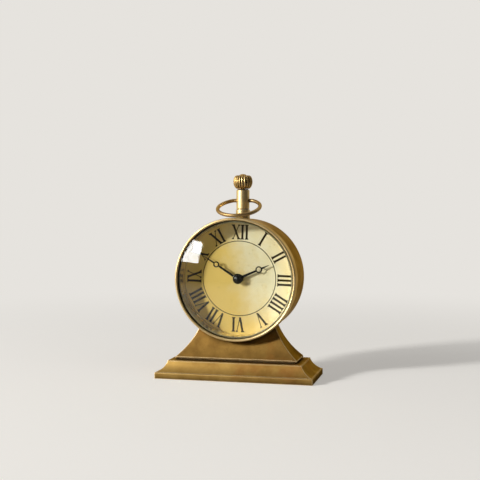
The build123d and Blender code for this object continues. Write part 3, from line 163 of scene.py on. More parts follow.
def brass_finish(name, colours, gloss, grain, edge, reach):
    """Aged brass. Colours are clean, tarnished, bloom, a dark corner colour (dirt and painted shade) and a
    pale edge colour (wear and painted highlight). Gloss is the clean metal's roughness, grain the height of
    its skin, edge the width of the pale edges and reach how far the dark corners creep, in mm."""
    clean, tarnished, bloom, dirt_and_shade, worn_and_highlight = [linear(colour) for colour in colours]
    material, tree, shader = start_finish(name)
    place = surface_place(tree)
    patches = add_node(
        tree, "ShaderNodeTexNoise", {"Scale": per_mm(PATCH_SIZE), "Detail": 5.0, "Roughness": 0.6},
        {"Vector": place},
    )
    patch_share = add_node(
        tree, "ShaderNodeMapRange", {"From Min": 0.36, "From Max": 0.66}, {"Value": patches.outputs["Fac"]}
    )
    blooms = add_node(
        tree, "ShaderNodeTexNoise", {"Scale": per_mm(BLOOM_SIZE), "Detail": 4.0, "Roughness": 0.55},
        {"Vector": place},
    )
    bloom_share = add_node(
        tree, "ShaderNodeMapRange", {"From Min": 0.56, "From Max": 0.72, "To Max": 0.55},
        {"Value": blooms.outputs["Fac"]},
    )
    specks = add_node(
        tree, "ShaderNodeTexNoise", {"Scale": per_mm(SPECK_SIZE), "Detail": 3.0, "Roughness": 0.7},
        {"Vector": place},
    )
    speck_share = add_node(
        tree, "ShaderNodeMapRange", {"From Min": 0.56, "From Max": 0.72, "To Max": 0.45},
        {"Value": specks.outputs["Fac"]},
    )
    toned = add_node(
        tree, "ShaderNodeMix", {"data_type": "RGBA", 6: clean, 7: tarnished},
        {"Factor": patch_share.outputs["Result"]},
    )
    bloomed = add_node(
        tree, "ShaderNodeMix", {"data_type": "RGBA", 7: bloom},
        {"Factor": bloom_share.outputs["Result"], 6: toned.outputs[2]},
    )
    speckled = add_node(
        tree, "ShaderNodeMix", {"data_type": "RGBA", 7: tarnished},
        {"Factor": speck_share.outputs["Result"], 6: bloomed.outputs[2]},
    )
    # Ambient occlusion darkens corners and hollows: dirt and oxide, and also painted shade
    corners = add_node(tree, "ShaderNodeAmbientOcclusion", {"Distance": reach * MM, "samples": 8})
    dirt_and_shade_share = add_node(
        tree, "ShaderNodeMapRange", {"From Min": 0.95, "From Max": 0.4, "To Max": 0.9},
        {"Value": corners.outputs["AO"]},
    )
    dirtied_and_shaded = add_node(
        tree, "ShaderNodeMix", {"data_type": "RGBA", 7: dirt_and_shade},
        {"Factor": dirt_and_shade_share.outputs["Result"], 6: speckled.outputs[2]},
    )
    # Edges found by the bevel node turn pale: wear, and also a painted highlight along every edge
    soft_edges = add_node(tree, "ShaderNodeBevel", {"Radius": edge * MM, "samples": 6})
    true_shape = add_node(tree, "ShaderNodeNewGeometry")
    likeness = add_node(
        tree, "ShaderNodeVectorMath", {"operation": "DOT_PRODUCT"},
        {0: soft_edges.outputs["Normal"], 1: true_shape.outputs["Normal"]},
    )
    wear_and_highlight_share = add_node(
        tree, "ShaderNodeMapRange", {"From Min": 0.998, "From Max": 0.93, "To Max": 0.9},
        {"Value": likeness.outputs["Value"]},
    )
    coloured = add_node(
        tree, "ShaderNodeMix", {"data_type": "RGBA", 7: worn_and_highlight},
        {"Factor": wear_and_highlight_share.outputs["Result"], 6: dirtied_and_shaded.outputs[2]},
    )
    tree.links.new(shader.inputs["Base Color"], coloured.outputs[2])
    dullness = add_node(
        tree, "ShaderNodeMath", {"operation": "MULTIPLY_ADD", 1: 0.14, 2: gloss},
        {0: patch_share.outputs["Result"]},
    )
    duller = add_node(
        tree, "ShaderNodeMath", {"operation": "MULTIPLY_ADD", 1: 0.2},
        {0: dirt_and_shade_share.outputs["Result"], 2: dullness.outputs["Value"]},
    )
    tree.links.new(shader.inputs["Roughness"], duller.outputs["Value"])
    skin = add_node(
        tree, "ShaderNodeTexNoise", {"Scale": per_mm(SKIN_SIZE), "Detail": 4.0, "Roughness": 0.65},
        {"Vector": place},
    )
    dents = add_node(
        tree, "ShaderNodeTexNoise", {"Scale": per_mm(DENT_SIZE), "Detail": 2.0}, {"Vector": place}
    )
    waves = add_node(
        tree, "ShaderNodeBump", {"Strength": 1.0, "Distance": DENT_DEPTH * MM},
        {"Height": dents.outputs["Fac"], "Normal": soft_edges.outputs["Normal"]},
    )
    skinned = add_node(
        tree, "ShaderNodeBump", {"Strength": 1.0, "Distance": grain * MM},
        {"Height": skin.outputs["Fac"], "Normal": waves.outputs["Normal"]},
    )
    tree.links.new(shader.inputs["Normal"], skinned.outputs["Normal"])
    shader.inputs["Metallic"].default_value = 1.0
    shader.inputs["Specular Tint"].default_value = linear("#CDB486")
    return material


cast_brass = brass_finish(
    "cast_brass", ["#AE8C4C", "#8C6B34", "#946030", "#2A1C0D", "#FFE9B8"], 0.48, 0.012, 0.6, 4.0
)
# The pedestal gets a darker copy of the plinth's cast brass: painted shade for the pedestal under the drum
shaded_cast_brass = brass_finish(
    "shaded_cast_brass", ["#917038", "#6C5026", "#8F5A28", OLD_DIRT_AND_SHADE, "#FFE9B8"], 0.47, 0.012, 0.7, 4.0
)
turned_brass = brass_finish(
    "turned_brass", ["#A4824C", "#7C5E34", "#7E5228", OLD_DIRT_AND_SHADE, "#FBE3B0"], 0.36, 0.004, 0.35, 3.0
)
give_finish(cast_brass, "base_plinth")
give_finish(shaded_cast_brass, "pedestal")
give_finish(turned_brass, "case_body")

# %% [markdown]
# The neck is the part that fingers hold while the hands are set, so its brass is cleaner. It is also made
# paler than the case as a painted highlight, for the cream light it catches.

# %% Handled brass of the neck, paler as a painted highlight
handled_highlight_brass = brass_finish(
    "handled_highlight_brass", ["#F8DFA4", "#E0C080", "#BC9050", OLD_DIRT_AND_SHADE, "#FFF0CA"], 0.38, 0.003, 0.3, 2.5
)
give_finish(handled_highlight_brass, "pendant_neck")

# %% [markdown]
# The bezel's rim and its inner bevel are rubbed bright each time the glass is wiped. In the last quarter of a
# millimetre against the glass a dark line is painted: painted shade of the narrow gap between bezel and
# glass.
# That line could be a material of its own on a few faces, but the mesh of a CAD node is never changed. It
# runs round the drum's axis, so the distance from that axis finds it, and the same distance draws the
# lathe's rings on the rear cover below.

# %% Distance from the drum's axis
bezel_low, bezel_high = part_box("bezel")
DRUM_CENTRE = (bezel_low + bezel_high) / 2


def drum_axis_distance(tree):
    """How far a point of the surface lies from the axis of the drum, in metres."""
    place = surface_place(tree)
    from_centre = add_node(
        tree, "ShaderNodeVectorMath", {"operation": "SUBTRACT", 1: DRUM_CENTRE}, {0: place}
    )
    across = add_node(
        tree, "ShaderNodeVectorMath", {"operation": "MULTIPLY", 1: (1.0, 0.0, 1.0)},
        {0: from_centre.outputs["Vector"]},
    )
    length = add_node(
        tree, "ShaderNodeVectorMath", {"operation": "LENGTH"}, {0: across.outputs["Vector"]}
    )
    return length.outputs["Value"]


# %% Rubbed brass of the bezel
rubbed_brass = brass_finish(
    "rubbed_brass", ["#E4C88E", "#C4A468", "#AC8048", OLD_DIRT_AND_SHADE, "#FFF0CA"], 0.38, 0.003, 0.3, 1.2
)
RUBBED_WIDTH = 1.38
GAP_SHADE_FADE = 0.08 * MM
GAP_SHADE_EDGE = (bezel_high.x - bezel_low.x) / 2 - RUBBED_WIDTH * MM
tree = rubbed_brass.node_tree
shader = tree.nodes["Principled BSDF"]
brass_colour = shader.inputs["Base Color"].links[0].from_socket
# Painted shade: a dark line on the bezel next to the glass, for the shade in the gap between them
gap_shade_share = add_node(
    tree, "ShaderNodeMapRange",
    {"From Min": GAP_SHADE_EDGE + GAP_SHADE_FADE, "From Max": GAP_SHADE_EDGE - GAP_SHADE_FADE, "To Max": 0.9},
    {"Value": drum_axis_distance(tree)},
)
gap_shaded = add_node(
    tree, "ShaderNodeMix", {"data_type": "RGBA", 7: linear("#20160B")},
    {"Factor": gap_shade_share.outputs["Result"], 6: brass_colour},
)
tree.links.new(shader.inputs["Base Color"], gap_shaded.outputs[2])
give_finish(rubbed_brass, "bezel")
# The printed distance is where the painted shade of the gap begins
print("Dust lies on the bezel inside", round(GAP_SHADE_EDGE / MM, 2), "mm from the drum's axis")

# %% [markdown]
# The rear cover was faced on a lathe, and the tool left rings. Real ones are about 0.2 mm apart, too fine
# for the picture, so they are drawn 1.1 mm apart, with a little noise that keeps them from looking ruled.

# %% Faced brass of the rear cover
RING_STEP = 1.1
RING_HEIGHT = 0.012
faced_brass = brass_finish(
    "faced_brass", ["#A8864E", "#84653A", "#805628", OLD_DIRT_AND_SHADE, "#FBE3B0"], 0.34, 0.003, 0.35, 3.0
)
tree = faced_brass.node_tree
shader = tree.nodes["Principled BSDF"]
brass_normal = shader.inputs["Normal"].links[0].from_socket
place = surface_place(tree)
chatter = add_node(tree, "ShaderNodeTexNoise", {"Scale": per_mm(8), "Detail": 2.0}, {"Vector": place})
ring_phase = add_node(
    tree, "ShaderNodeMath", {"operation": "MULTIPLY_ADD", 1: 2 * math.pi / (RING_STEP * MM)},
    {0: drum_axis_distance(tree), 2: chatter.outputs["Fac"]},
)
ring_height = add_node(tree, "ShaderNodeMath", {"operation": "SINE"}, {0: ring_phase.outputs["Value"]})
faced = add_node(
    tree, "ShaderNodeBump", {"Strength": 1.0, "Distance": RING_HEIGHT * MM},
    {"Height": ring_height.outputs["Value"], "Normal": brass_normal},
)
tree.links.new(shader.inputs["Normal"], faced.outputs["Normal"])
give_finish(faced_brass, "rear_cover")

# %% [markdown]
# The bow is brass wire, drawn through a die and bent round. Fingers never polish all of it, so it is
# browner and redder than neck and bezel.

# %% Drawn brass of the bow
drawn_brass = brass_finish(
    "drawn_brass", ["#CCAE78", "#94754A", "#8E5E3C", OLD_DIRT_AND_SHADE, "#FBE4B8"], 0.38, 0.003, 0.25, 2.0
)
give_finish(drawn_brass, "bow")

# %% [markdown]
# ## Crown
# A watch crown is turned and then fluted with a round cutter, so its ribs are half round and meet in sharp
# grooves. The CAD crown has the same outline and the same 20 ribs in flat strips, which is right for a
# solid but shows its facets close up. So the crown is made again as rings of points from stem to cap. Each
# ring's radius follows the onion outline, and each rib is one arch of it that fades out on the cap.

# %% A mesh becomes an object
def mesh_object(name, mesh, crease=None):
    """Turns a finished bmesh into an object. A crease in degrees smooths every edge that bends less."""
    bmesh.ops.recalc_face_normals(mesh, faces=mesh.faces)
    data = bpy.data.meshes.new(name)
    mesh.to_mesh(data)
    mesh.free()
    if crease:
        data.polygons.foreach_set("use_smooth", [True] * len(data.polygons))
        data.set_sharp_from_angle(angle=math.radians(crease))
    made = bpy.data.objects.new(name, data)
    bpy.context.scene.collection.objects.link(made)
    return made


# %% Outline of the crown
CROWN_RIBS = 20
POINTS_PER_RIB = 12
RIB_RELIEF = 0.62
ARCH_WIDTH = 1.86
BELLY_RADIUS, BELLY_RISE = 5.1, 3.7
FOOT_RADIUS, SHOULDER_RADIUS, SHOULDER_RISE = 3.3, 3.85, 6.95
CAP_RADIUS, CAP_BASE, CAP_TOP = 1.8, 7.12, 7.85
ROUNDNESS = 0.93
BODY_RINGS = 30
CAP_RINGS = 7


def onion_radius(rise):
    """Radius over the ribs at a height above the crown's foot, in mm."""
    end_radius, end_rise = (FOOT_RADIUS, 0.0) if rise < BELLY_RISE else (SHOULDER_RADIUS, SHOULDER_RISE)
    span = ROUNDNESS * (rise - BELLY_RISE) / (end_rise - BELLY_RISE)
    least = math.sqrt(1 - ROUNDNESS**2)
    return end_radius + (BELLY_RADIUS - end_radius) * (math.sqrt(1 - span**2) - least) / (1 - least)


def rib_hollow(share_of_pitch):
    """How deep the outline lies across one rib: 0 on its crest, 1 in the groove on either side."""
    from_crest = abs(share_of_pitch % 1.0 - 0.5)
    arch = math.sqrt(1 - (ARCH_WIDTH * from_crest) ** 2)
    return (1 - arch) / (1 - math.sqrt(1 - (ARCH_WIDTH / 2) ** 2))


# Rings as radius, height above the foot and share of the rib relief
crown_rings = [(1.2, -3.95, 0), (1.2, -2.6, 0), (0.75, -2.6, 0)]
crown_rings += [(0.75, -1.5, 0), (1.2, -1.5, 0), (1.2, 0, 0)]
crown_rings += [(FOOT_RADIUS - 0.2, 0.0, 1.0), (FOOT_RADIUS - 0.04, 0.06, 1.0)]
for i in range(1, BODY_RINGS + 1):
    rise = SHOULDER_RISE * i / BODY_RINGS
    crown_rings.append((onion_radius(rise), rise, 1.0))
crown_rings += [(3.55, 7.06, 0.95), (3.1, 7.12, 0.8), (2.5, 7.14, 0.45), (2.0, 7.12, 0.0)]
for i in range(CAP_RINGS):
    lean = math.pi / 2 * i / CAP_RINGS
    crown_rings.append((CAP_RADIUS * math.cos(lean), CAP_BASE + (CAP_TOP - CAP_BASE) * math.sin(lean), 0.0))
widest = 2 * max(radius for radius, rise, relief_share in crown_rings)
print("Crown has", len(crown_rings), "rings and is", round(widest, 2), "mm wide")

# %% Crown mesh
crown_low, crown_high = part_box("crown")
crown_axis = (crown_low + crown_high) / 2
foot_height = crown_high.z - CAP_TOP * MM
crown_mesh = bmesh.new()
hollow_layer = crown_mesh.verts.layers.float.new("groove")
around = CROWN_RIBS * POINTS_PER_RIB
rows = []
for radius, rise, relief_share in crown_rings:
    row = []
    for i in range(around):
        angle = 2 * math.pi * i / around
        hollow = relief_share * rib_hollow(i / POINTS_PER_RIB)
        reach = (radius - RIB_RELIEF * hollow) * MM
        point = crown_mesh.verts.new((
            crown_axis.x + reach * math.cos(angle), crown_axis.y + reach * math.sin(angle),
            foot_height + rise * MM,
        ))
        point[hollow_layer] = hollow
        row.append(point)
    rows.append(row)
for low_row, high_row in zip(rows, rows[1:]):
    for i in range(around):
        j = (i + 1) % around
        crown_mesh.faces.new([low_row[i], low_row[j], high_row[j], high_row[i]])
crown_mesh.faces.new(list(reversed(rows[0])))
pole = crown_mesh.verts.new((crown_axis.x, crown_axis.y, crown_high.z))
for i in range(around):
    crown_mesh.faces.new([rows[-1][i], rows[-1][(i + 1) % around], pole])
crown = mesh_object("fluted_crown", crown_mesh, crease=38)
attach(crown, "crown")
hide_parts("crown")
print("Crown has", len(crown.data.polygons), "faces")

# %% [markdown]
# Fingers keep the crown lighter than the case, but wear and dirt as wide as on the plinth would cover rib
# and groove alike. So its worn edges are narrow, and the mesh itself says how deep each point lies, which
# puts dirt and painted shade in dark lines between bright ribs.

# %% Fluted brass of the crown
fluted_brass = brass_finish(
    "fluted_brass", ["#D6B478", "#B49258", "#A46E38", "#180E05", "#FFF0CA"], 0.36, 0.002, 0.12, 0.9
)
tree = fluted_brass.node_tree
shader = tree.nodes["Principled BSDF"]
brass_colour = shader.inputs["Base Color"].links[0].from_socket
# Dirt and painted shade: each groove darkens towards its bottom, by the depth the mesh stores
depth_in_rib = add_node(tree, "ShaderNodeAttribute", {"attribute_name": "groove"})
groove_shade_share = add_node(
    tree, "ShaderNodeMapRange", {"From Min": 0.35, "From Max": 0.95, "To Max": 0.92},
    {"Value": depth_in_rib.outputs["Fac"]},
)
groove_shaded = add_node(
    tree, "ShaderNodeMix", {"data_type": "RGBA", 7: linear("#180E05")},
    {"Factor": groove_shade_share.outputs["Result"], 6: brass_colour},
)
tree.links.new(shader.inputs["Base Color"], groove_shaded.outputs[2])
crown.data.materials.append(fluted_brass)

# %% [markdown]
# ## Polished brass
# The ring between glass and dial is shut away from hands and air, so it is still polished and has almost
# no dirt. Its low roughness makes it a curved mirror of the dial's edge, and that is the bright band with
# dark ticks round the dial. A mirror seen at a glancing angle keeps hardly any tint, so the tint that
# suits old brass is taken away here.

# %% Polished brass
polished_brass = brass_finish(
    "polished_brass", ["#F2E8CC", "#DED1AC", "#D0BE90", "#9A8A60", "#FFF6DC"], 0.18, 0.001, 0.2, 1.2
)
polished_brass.node_tree.nodes["Principled BSDF"].inputs["Specular Tint"].default_value = linear("#FFFFFF")
give_finish(polished_brass, "reflector_ring", "dial_plate")

# %% [markdown]
# ## Dial paper
# The dial is printed paper glued to brass, cream once and now yellow. Age goes deepest on the left, where
# it is golden, and fades to cream on the right, with faint blotches and a few small brown spots.
# A plain cream disc would look new. The stains are worked out from the distance to the dial's middle and
# from noise at the size of real blotches, 2 to 12 mm.

# %% Dial paper
dial_low, dial_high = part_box("dial_paper")
DIAL_CENTRE = (dial_low + dial_high) / 2
DIAL_FACE_Y = dial_low.y
DIAL_RADIUS = (dial_high.x - dial_low.x) / 2
print("Dial radius in mm:", round(DIAL_RADIUS / MM, 2), "face at y", round(DIAL_FACE_Y / MM, 2))

# Sizes and distances in mm
BLOTCH_SIZE, FOX_SIZE = 11, 3.6
RIM_FROM, RIM_TO, RIM_WANDER = 24, 38, 9
GOLD_SIDE = (-0.96, 0.0, -0.28)
GOLD_FROM, GOLD_TO, GOLD_WANDER = -2, 18, 22
FIBRE_SIZE, FIBRE_HEIGHT = 0.25, 0.006

aged_paper, tree, shader = start_finish("aged_paper")
place = surface_place(tree)
from_middle = add_node(
    tree, "ShaderNodeVectorMath", {"operation": "SUBTRACT", 1: DIAL_CENTRE}, {0: place}
)
blotches = add_node(
    tree, "ShaderNodeTexNoise", {"Scale": per_mm(BLOTCH_SIZE), "Detail": 6.0, "Roughness": 0.62},
    {"Vector": place},
)
distance = add_node(
    tree, "ShaderNodeVectorMath", {"operation": "LENGTH"}, {0: from_middle.outputs["Vector"]}
)
uneven = add_node(
    tree, "ShaderNodeMath", {"operation": "MULTIPLY_ADD", 1: RIM_WANDER * MM},
    {0: blotches.outputs["Fac"], 2: distance.outputs["Value"]},
)
rim_share = add_node(
    tree, "ShaderNodeMapRange", {"From Min": RIM_FROM * MM, "From Max": RIM_TO * MM, "To Max": 0.5},
    {"Value": uneven.outputs["Value"]},
)
slant = add_node(
    tree, "ShaderNodeVectorMath", {"operation": "DOT_PRODUCT", 1: GOLD_SIDE},
    {0: from_middle.outputs["Vector"]},
)
slanted = add_node(
    tree, "ShaderNodeMath", {"operation": "MULTIPLY_ADD", 1: GOLD_WANDER * MM},
    {0: blotches.outputs["Fac"], 2: slant.outputs["Value"]},
)
gold_share = add_node(
    tree, "ShaderNodeMapRange", {"From Min": GOLD_FROM * MM, "From Max": GOLD_TO * MM, "To Max": 0.95},
    {"Value": slanted.outputs["Value"]},
)
blotch_share = add_node(
    tree, "ShaderNodeMapRange", {"From Min": 0.42, "From Max": 0.74, "To Max": 0.55},
    {"Value": blotches.outputs["Fac"]},
)
cream = add_node(
    tree, "ShaderNodeMix", {"data_type": "RGBA", 6: linear("#E9D9B8"), 7: linear("#E0C690")},
    {"Factor": blotch_share.outputs["Result"]},
)
rimmed = add_node(
    tree, "ShaderNodeMix", {"data_type": "RGBA", 7: linear("#CDA96A")},
    {"Factor": rim_share.outputs["Result"], 6: cream.outputs[2]},
)
golden = add_node(
    tree, "ShaderNodeMix", {"data_type": "RGBA", 7: linear("#E0B75C")},
    {"Factor": gold_share.outputs["Result"], 6: rimmed.outputs[2]},
)
foxing = add_node(
    tree, "ShaderNodeTexVoronoi", {"Scale": per_mm(FOX_SIZE), "Randomness": 1.0}, {"Vector": place}
)
fox_mask = add_node(
    tree, "ShaderNodeMapRange", {"From Min": 0.16, "From Max": 0.03, "To Max": 0.32},
    {"Value": foxing.outputs["Distance"]},
)
spotted = add_node(
    tree, "ShaderNodeMix", {"data_type": "RGBA", 7: linear("#8E6A33")},
    {"Factor": fox_mask.outputs["Result"], 6: golden.outputs[2]},
)
tree.links.new(shader.inputs["Base Color"], spotted.outputs[2])
fibres = add_node(
    tree, "ShaderNodeTexNoise", {"Scale": per_mm(FIBRE_SIZE), "Detail": 4.0, "Roughness": 0.7},
    {"Vector": place},
)
fibre_bump = add_node(
    tree, "ShaderNodeBump", {"Strength": 1.0, "Distance": FIBRE_HEIGHT * MM},
    {"Height": fibres.outputs["Fac"]},
)
tree.links.new(shader.inputs["Normal"], fibre_bump.outputs["Normal"])
shader.inputs["Roughness"].default_value = 0.72
shader.inputs["IOR"].default_value = 1.45
shader.inputs["Specular IOR Level"].default_value = 0.3
give_finish(aged_paper, "dial_paper")

# %% [markdown]
# ## Printed numerals and circle
# The numerals are Roman, in a narrow face with thick and thin strokes and small feet, and they stand with
# their feet to the middle. Four is IIII, as on most clocks. They could be a picture on the dial, but then
# the dial would need image files. Here each stroke is a flat plate of ink 0.02 mm thick, and strokes that
# cross differ a few thousandths of a millimetre in height so that no two faces lie in one plane.

# %% Numerals
DIAL_ROLL = math.radians(1.6)
NUMERAL_FOOT = 20.4
NUMERAL_HEIGHT = 7.7
STEM = 1.12
HAIRLINE = 0.42
SERIF_THICK = 0.3
SERIF_REACH = 0.4
SERIF_SLOPE = 2.6
STEM_STEP = 2.28
V_SPREAD, X_SPREAD = 1.6, 1.55
LETTER_MARGIN = 0.75
# Heights of the ink, different for strokes that cross
STEM_INK, HAIR_INK, SERIF_INK, THIN_SERIF_INK = 0.020, 0.017, 0.014, 0.012
HOURS = ["XII", "I", "II", "III", "IIII", "V", "VI", "VII", "VIII", "IX", "X", "XI"]


def slanted_stroke(foot_x, top_x, width):
    """A stroke from the foot line to the top line, as four corners."""
    half, top = width / 2, NUMERAL_HEIGHT
    return [(foot_x - half, 0), (foot_x + half, 0), (top_x + half, top), (top_x - half, top)]


def serif(x, width, at_top):
    """A thin foot or head of a stroke, with its slope into the stem."""
    half = width / 2 + SERIF_REACH
    near = NUMERAL_HEIGHT if at_top else 0.0
    inward = -1 if at_top else 1
    edge = near + inward * SERIF_THICK
    slope = near + inward * SERIF_THICK * SERIF_SLOPE
    return [
        (x - half, near), (x + half, near), (x + half, edge), (x + width / 2, slope),
        (x - width / 2, slope), (x - half, edge),
    ]


def letter_strokes(letter):
    """Half the letter's width, and its strokes as (height of ink in mm, corners)."""
    if letter == "I":
        strokes = [
            (STEM_INK, slanted_stroke(0, 0, STEM)),
            (SERIF_INK, serif(0, STEM, True)), (SERIF_INK, serif(0, STEM, False)),
        ]
        return STEM_STEP / 2, strokes
    if letter == "V":
        strokes = [
            (STEM_INK, slanted_stroke(0.1, -V_SPREAD, STEM)),
            (HAIR_INK, slanted_stroke(0.1, V_SPREAD, HAIRLINE)),
            (SERIF_INK, serif(-V_SPREAD, STEM, True)), (THIN_SERIF_INK, serif(V_SPREAD, HAIRLINE, True)),
        ]
        return V_SPREAD + LETTER_MARGIN, strokes
    strokes = [
        (STEM_INK, slanted_stroke(X_SPREAD, -X_SPREAD, STEM)),
        (HAIR_INK, slanted_stroke(-X_SPREAD, X_SPREAD, HAIRLINE)),
        (SERIF_INK, serif(-X_SPREAD, STEM, True)), (THIN_SERIF_INK, serif(X_SPREAD, HAIRLINE, True)),
        (SERIF_INK, serif(X_SPREAD, STEM, False)), (THIN_SERIF_INK, serif(-X_SPREAD, HAIRLINE, False)),
    ]
    return X_SPREAD + LETTER_MARGIN, strokes


def on_dial(turn, across, outward, height):
    """A point of the dial: turn clockwise from twelve, then across and outward in mm, and ink height."""
    x = across * math.cos(turn) + outward * math.sin(turn)
    z = outward * math.cos(turn) - across * math.sin(turn)
    return (DIAL_CENTRE.x + x * MM, DIAL_FACE_Y - height * MM, DIAL_CENTRE.z + z * MM)


def add_ink(mesh, corners, turn, height):
    """A flat plate of ink on the dial, from its corners as (across, outward)."""
    front = [mesh.verts.new(on_dial(turn, x, y, height)) for x, y in corners]
    back = [mesh.verts.new(on_dial(turn, x, y, 0.0)) for x, y in corners]
    mesh.faces.new(front)
    mesh.faces.new(list(reversed(back)))
    for i in range(len(corners)):
        j = (i + 1) % len(corners)
        mesh.faces.new([front[i], back[i], back[j], front[j]])


numeral_mesh = bmesh.new()
for hour, word in enumerate(HOURS):
    turn = DIAL_ROLL + math.radians(30 * hour)
    letters = [letter_strokes(letter) for letter in word]
    across = -sum(half for half, strokes in letters)
    for half, strokes in letters:
        across += half
        for height, corners in strokes:
            add_ink(numeral_mesh, [(across + x, NUMERAL_FOOT + y) for x, y in corners], turn, height)
        across += half
numerals = mesh_object("printed_numerals", numeral_mesh)
print("Numerals have", len(numerals.data.polygons), "faces")

# %% [markdown]
# The circle inside the numerals is one hairline, 0.42 mm wide and 19.55 mm from the middle. A ring of
# flat faces is enough, with as many sides as it takes to look round.

# %% Printed circle
CIRCLE_RADIUS = 19.55
CIRCLE_LINE = 0.42
CIRCLE_INK = 0.016
CIRCLE_SIDES = 144


def ring_points(radius):
    """Points of a circle on the dial, as (across, outward) in mm."""
    return [
        (radius * math.sin(2 * math.pi * i / CIRCLE_SIDES), radius * math.cos(2 * math.pi * i / CIRCLE_SIDES))
        for i in range(CIRCLE_SIDES)
    ]


circle_mesh = bmesh.new()
inner, outer = ring_points(CIRCLE_RADIUS - CIRCLE_LINE / 2), ring_points(CIRCLE_RADIUS + CIRCLE_LINE / 2)
for i in range(CIRCLE_SIDES):
    j = (i + 1) % CIRCLE_SIDES
    corners = (inner[i], outer[i], outer[j], inner[j])
    circle_mesh.faces.new([circle_mesh.verts.new(on_dial(0, x, y, CIRCLE_INK)) for x, y in corners])
bmesh.ops.remove_doubles(circle_mesh, verts=circle_mesh.verts, dist=0.0001 * MM)
walls = bmesh.ops.extrude_face_region(circle_mesh, geom=circle_mesh.faces[:])
moved = [item for item in walls["geom"] if isinstance(item, bmesh.types.BMVert)]
bmesh.ops.translate(circle_mesh, verts=moved, vec=(0, CIRCLE_INK * MM, 0))
circle = mesh_object("printed_circle", circle_mesh)
print("Circle has", len(circle.data.polygons), "faces")

# %% [markdown]
# ## Printing ink
# Old printing ink isn't pure black. It is a very dark brown, matt, and a little worn where the paper's
# fibres stand up through it.

# %% Printing ink
printing_ink, tree, shader = start_finish("printing_ink")
place = surface_place(tree)
worn_ink = add_node(
    tree, "ShaderNodeTexNoise", {"Scale": per_mm(0.8), "Detail": 5.0, "Roughness": 0.7}, {"Vector": place}
)
ink_share = add_node(
    tree, "ShaderNodeMapRange", {"From Min": 0.52, "From Max": 0.8, "To Max": 0.5},
    {"Value": worn_ink.outputs["Fac"]},
)
ink_colour = add_node(
    tree, "ShaderNodeMix", {"data_type": "RGBA", 6: linear("#2A1D0E"), 7: linear("#5A4526")},
    {"Factor": ink_share.outputs["Result"]},
)
tree.links.new(shader.inputs["Base Color"], ink_colour.outputs[2])
shader.inputs["Roughness"].default_value = 0.6
shader.inputs["Specular IOR Level"].default_value = 0.1
for piece in (numerals, circle):
    piece.data.materials.append(printing_ink)
    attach(piece, "stand_and_case")

# %% [markdown]
# ## Crystal
# The glass is a shallow dome 0.9 mm thick, with a flat edge that the bezel pinches. The CAD solid has the
# right shape, but its long thin faces meet in the middle of the dome, where each one would bend the view
# of the hands its own way. So the glass is turned again as rings of points along its two arcs.

# %% Outline of the glass
glass_low, glass_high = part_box("crystal")
GLASS_AXIS = (glass_low + glass_high) / 2
GLASS_RADIUS = (glass_high.x - glass_low.x) / 2 / MM
GLASS_FRONT, GLASS_BACK = glass_low.y / MM, glass_high.y / MM
GLASS_THICK, EDGE_THICK, EDGE_WIDTH = 0.9, 0.7, 0.6
ARC_STEPS = 28
GLASS_SIDES = 144


def dome_arc(radius, pole_y, rim_y):
    """Points of a dome as (radius, y) in mm, from just outside its pole to its rim."""
    rise = rim_y - pole_y
    sphere = (radius**2 + rise**2) / (2 * rise)
    angles = [math.asin(radius / sphere) * (i + 1) / ARC_STEPS for i in range(ARC_STEPS)]
    return [(sphere * math.sin(a), pole_y + sphere * (1 - math.cos(a))) for a in angles]


dome_radius = GLASS_RADIUS - EDGE_WIDTH
outer_arc = dome_arc(dome_radius, GLASS_FRONT, GLASS_BACK - EDGE_THICK)
inner_arc = dome_arc(dome_radius - GLASS_THICK, GLASS_FRONT + GLASS_THICK, GLASS_BACK)
flat_edge = [(GLASS_RADIUS, GLASS_BACK - EDGE_THICK), (GLASS_RADIUS, GLASS_BACK)]
glass_rings = outer_arc + flat_edge + inner_arc[::-1]
print("The glass is", round(GLASS_BACK - GLASS_FRONT, 2), "mm deep in", len(glass_rings), "rings")

# %% Glass mesh
glass_mesh = bmesh.new()
rows = []
for radius, y in glass_rings:
    row = []
    for i in range(GLASS_SIDES):
        angle = 2 * math.pi * i / GLASS_SIDES
        x, z = radius * MM * math.cos(angle), radius * MM * math.sin(angle)
        row.append(glass_mesh.verts.new((GLASS_AXIS.x + x, y * MM, GLASS_AXIS.z + z)))
    rows.append(row)
front_pole = glass_mesh.verts.new((GLASS_AXIS.x, GLASS_FRONT * MM, GLASS_AXIS.z))
back_pole = glass_mesh.verts.new((GLASS_AXIS.x, (GLASS_FRONT + GLASS_THICK) * MM, GLASS_AXIS.z))
for i in range(GLASS_SIDES):
    j = (i + 1) % GLASS_SIDES
    glass_mesh.faces.new([front_pole, rows[0][i], rows[0][j]])
    glass_mesh.faces.new([back_pole, rows[-1][j], rows[-1][i]])
    for near_row, far_row in zip(rows, rows[1:]):
        glass_mesh.faces.new([near_row[i], far_row[i], far_row[j], near_row[j]])
glass = mesh_object("domed_glass", glass_mesh, crease=12)
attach(glass, "stand_and_case")
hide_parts("crystal")
print("Glass has", len(glass.data.polygons), "faces")

# %% [markdown]
# Glass needs no colour of its own: it has an IOR of 1.5 and almost no roughness. Light must reach the
# dial through it, and a path tracer would shade the dial black if the glass cast a full shadow, so shadow
# rays, and the soft light between paper and room, see the glass as clear. A thin haze of fingerprints
# changes the roughness a little, because perfectly clean glass looks like no glass at all.

